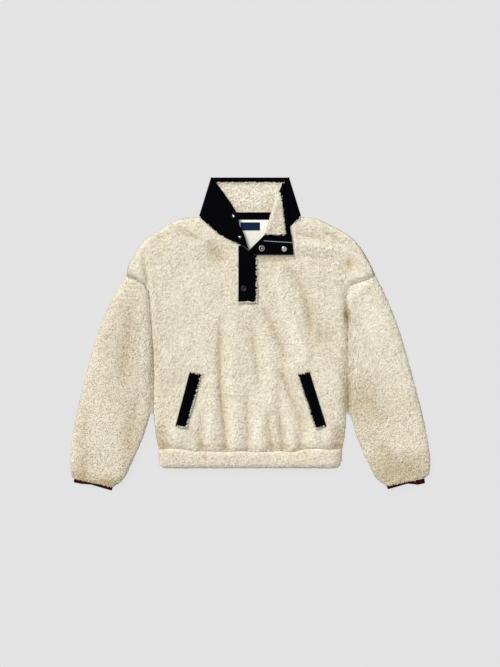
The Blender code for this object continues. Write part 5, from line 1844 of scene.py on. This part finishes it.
class PULLOVER_OT_stitches(bpy.types.Operator):
    """Topstitching of collar, placket, turned band, tape and welts"""
    bl_idname = "pullover.stitches"
    bl_label = "Topstitching"

    def execute(self, context):
        trims = context.scene.pullover_trims
        pitch = trims.stitch_length / MM
        points, faces, start = [], [], 0
        for path in self.paths():
            row_points, row_faces = stitch_row(path, pitch)
            points.append(row_points)
            faces.append(row_faces + start)
            start += len(row_points)
        material = woven_material("topstitch_thread", trims.thread_colour, ridge=1.4,
                                  pitch=0.4 * MM, roughness=0.5)
        flat = np.concatenate(points)
        add_piece("topstitching", flat, [np.concatenate(faces)], material, "navy_woven",
                  cloth=flat * MM)
        return {"FINISHED"}

    def paths(self):
        over = BODY_LEVEL + GAP + WOVEN + 0.35
        yield upright(PLACKET_LEFT + 3.0, 76.0, 204.0, over)
        yield upright(PLACKET_RIGHT - 3.0, 76.0, 181.0, over)
        yield level_row(-24.0, 12.0, PLACKET_BOTTOM + 3.5, over)
        yield level_row(-24.0, 12.0, PLACKET_BOTTOM + 12.0, over)
        band = turned_level() + WOVEN
        yield level_row(4.0, 98.0, 188.0, band)
        yield level_row(35.0, 94.0, 228.6, band)
        surface, normal, turned, _ = collar_surface(COLLAR_SHARES, STITCHED_STEP)
        outside = surface + normal * (0.5 * GAP + WOVEN)
        lefts = int(np.argmax(outside[:, 0, 1] > 267.0))
        yield outside[:lefts, -2]
        yield inset_line(outside[0, 1:-1], -3.0)
        yield outside[1:lefts, 1]
        inside = surface - normal * (0.5 * GAP + WOVEN)
        yield inside[lefts + 16:turned - 14, -2]
        for side in ("right", "left"):
            grid = with_level(welt_plan(side), welt_low(welt_plan(side)) + WELT_THICK)
            yield grid[2:-2, 1]
            yield grid[2:-2, -2]
            yield grid[2, 1:-1]
            yield grid[-3, 1:-1]
        tape = FLEECE + GAP + TAPE_THICK
        for y in (TAPE[2] + 1.8, TAPE[3] - 1.8):
            yield level_row(-80.0, 80.0, y, tape)
        label = FLEECE + GAP + LABEL_THICK
        for x in (LABEL[0] + 1.2, LABEL[1] - 1.2):
            yield upright(x, LABEL[2] + 1.0, LABEL[3] - 1.0, label)


# --- stage

FLOOR_DIFFUSE = 0.03
FLOOR_GLOW = 0.736  # strength of the floor's own glow as the camera sees it
FLOOR_BOUNCE = 0.35  # share of that glow which lights the cloth
FLOOR_LEVEL = -0.0005
ROOM_LIGHT = 0.505
CAMERA_SHIFT = -0.00035  # the camera stands this far off the middle in X
KEY_LIGHT = 3.0  # watts on each square metre
KEY_SPREAD = 26.0  # degrees
KEY_HEIGHT = 38.0  # degrees over the floor
KEY_TURN = 217.0  # degrees, so that it comes from over the wearer's right shoulder


class PULLOVER_OT_stage(bpy.types.Operator):
    """Floor, soft light and camera"""
    bl_idname = "pullover.stage"
    bl_label = "Floor, light and camera"

    def execute(self, context):
        stage = context.scene.pullover_stage
        self.floor(stage.floor_size)
        self.lights()
        camera = bpy.data.cameras.new("camera")
        camera.lens = stage.lens
        camera.sensor_width = 36.0
        camera.clip_end = 60.0
        holder = bpy.data.objects.new("camera", camera)
        holder.location = (CAMERA_SHIFT, 0.0, stage.camera_height)
        context.scene.collection.objects.link(holder)
        context.scene.camera = holder
        context.scene.view_settings.view_transform = "Standard"
        context.scene.view_settings.look = "None"
        return {"FINISHED"}

    def floor(self, size):
        """A level square of pale matt board that glows a little, so shadows stay faint."""
        half = 0.5 * size
        mesh = bpy.data.meshes.new("floor")
        corners = ((-half, -half), (half, -half), (half, half), (-half, half))
        mesh.from_pydata([(*corner, FLOOR_LEVEL) for corner in corners], [], [(0, 1, 2, 3)])
        material = bpy.data.materials.new("floor_board")
        material.use_nodes = True
        tree = material.node_tree
        speck = add_node(tree, "ShaderNodeTexNoise", {"Vector": object_place(tree), "Scale": 3.0})
        tone = map_range(tree, speck.outputs[0], 0.0, 1.0, 0.97, 1.0)
        grey = add_node(tree, "ShaderNodeCombineColor", {0: tone, 1: tone, 2: tone}).outputs[0]
        seen = add_node(tree, "ShaderNodeLightPath").outputs["Is Camera Ray"]
        glow = math_node(tree, "MULTIPLY_ADD", seen, (1.0 - FLOOR_BOUNCE) * FLOOR_GLOW,
                         FLOOR_BOUNCE * FLOOR_GLOW)
        set_inputs(tree.nodes["Principled BSDF"], Roughness=1.0, Specular_IOR_Level=0.0,
                   Base_Color=mix_colours(tree, 1.0, grey, (*[FLOOR_DIFFUSE] * 3, 1.0),
                                          "MULTIPLY"),
                   Emission_Color=(1.0, 1.0, 1.0, 1.0), Emission_Strength=glow)
        mesh.materials.append(material)
        floor = bpy.data.objects.new("floor", mesh)
        bpy.context.scene.collection.objects.link(floor)

    def lights(self):
        world = bpy.data.worlds.new("soft_room")
        world.use_nodes = True
        back = world.node_tree.nodes["Background"]
        back.inputs["Color"].default_value = (1.0, 1.0, 1.0, 1.0)
        back.inputs["Strength"].default_value = ROOM_LIGHT
        bpy.context.scene.world = world
        lamp = bpy.data.lights.new("key", "SUN")
        lamp.energy = KEY_LIGHT
        lamp.angle = math.radians(KEY_SPREAD)
        holder = bpy.data.objects.new("key", lamp)
        holder.rotation_euler = (math.radians(90.0 - KEY_HEIGHT), 0.0, math.radians(KEY_TURN))
        bpy.context.scene.collection.objects.link(holder)


OPERATORS = (PULLOVER_OT_front, PULLOVER_OT_back, PULLOVER_OT_sleeves, PULLOVER_OT_hem,
             PULLOVER_OT_collar, PULLOVER_OT_placket, PULLOVER_OT_neck, PULLOVER_OT_welts,
             PULLOVER_OT_snaps, PULLOVER_OT_tufts, PULLOVER_OT_stitches, PULLOVER_OT_stage)
SETTINGS = {"pullover_fleece": PULLOVER_PG_fleece, "pullover_trims": PULLOVER_PG_trims,
            "pullover_snaps": PULLOVER_PG_snaps, "pullover_stage": PULLOVER_PG_stage}


class PULLOVER_PT_panel(bpy.types.Panel):
    """Buttons and settings in the 3D view's sidebar"""
    bl_idname = "PULLOVER_PT_panel"
    bl_label = "Sherpa pullover"
    bl_space_type = "VIEW_3D"
    bl_region_type = "UI"
    bl_category = "Pullover"

    def draw(self, context):
        for key, group in SETTINGS.items():
            box = self.layout.box()
            for name in group.__annotations__:
                box.prop(getattr(context.scene, key), name)
        for operator in OPERATORS:
            self.layout.operator(operator.bl_idname)


def register():
    for group in (*SETTINGS.values(), *OPERATORS, PULLOVER_PT_panel):
        bpy.utils.register_class(group)
    for key, group in SETTINGS.items():
        setattr(bpy.types.Scene, key, bpy.props.PointerProperty(type=group))


def unregister():
    for key in SETTINGS:
        delattr(bpy.types.Scene, key)
    for group in reversed((*SETTINGS.values(), *OPERATORS, PULLOVER_PT_panel)):
        bpy.utils.unregister_class(group)


def main():
    register()
    bpy.ops.pullover.front()
    bpy.ops.pullover.back()
    bpy.ops.pullover.sleeves()
    bpy.ops.pullover.hem()
    bpy.ops.pullover.collar()
    bpy.ops.pullover.placket()
    bpy.ops.pullover.neck()
    bpy.ops.pullover.welts()
    bpy.ops.pullover.snaps()
    bpy.ops.pullover.tufts()
    bpy.ops.pullover.stitches()
    bpy.ops.pullover.stage()


if __name__ == "__main__":
    main()
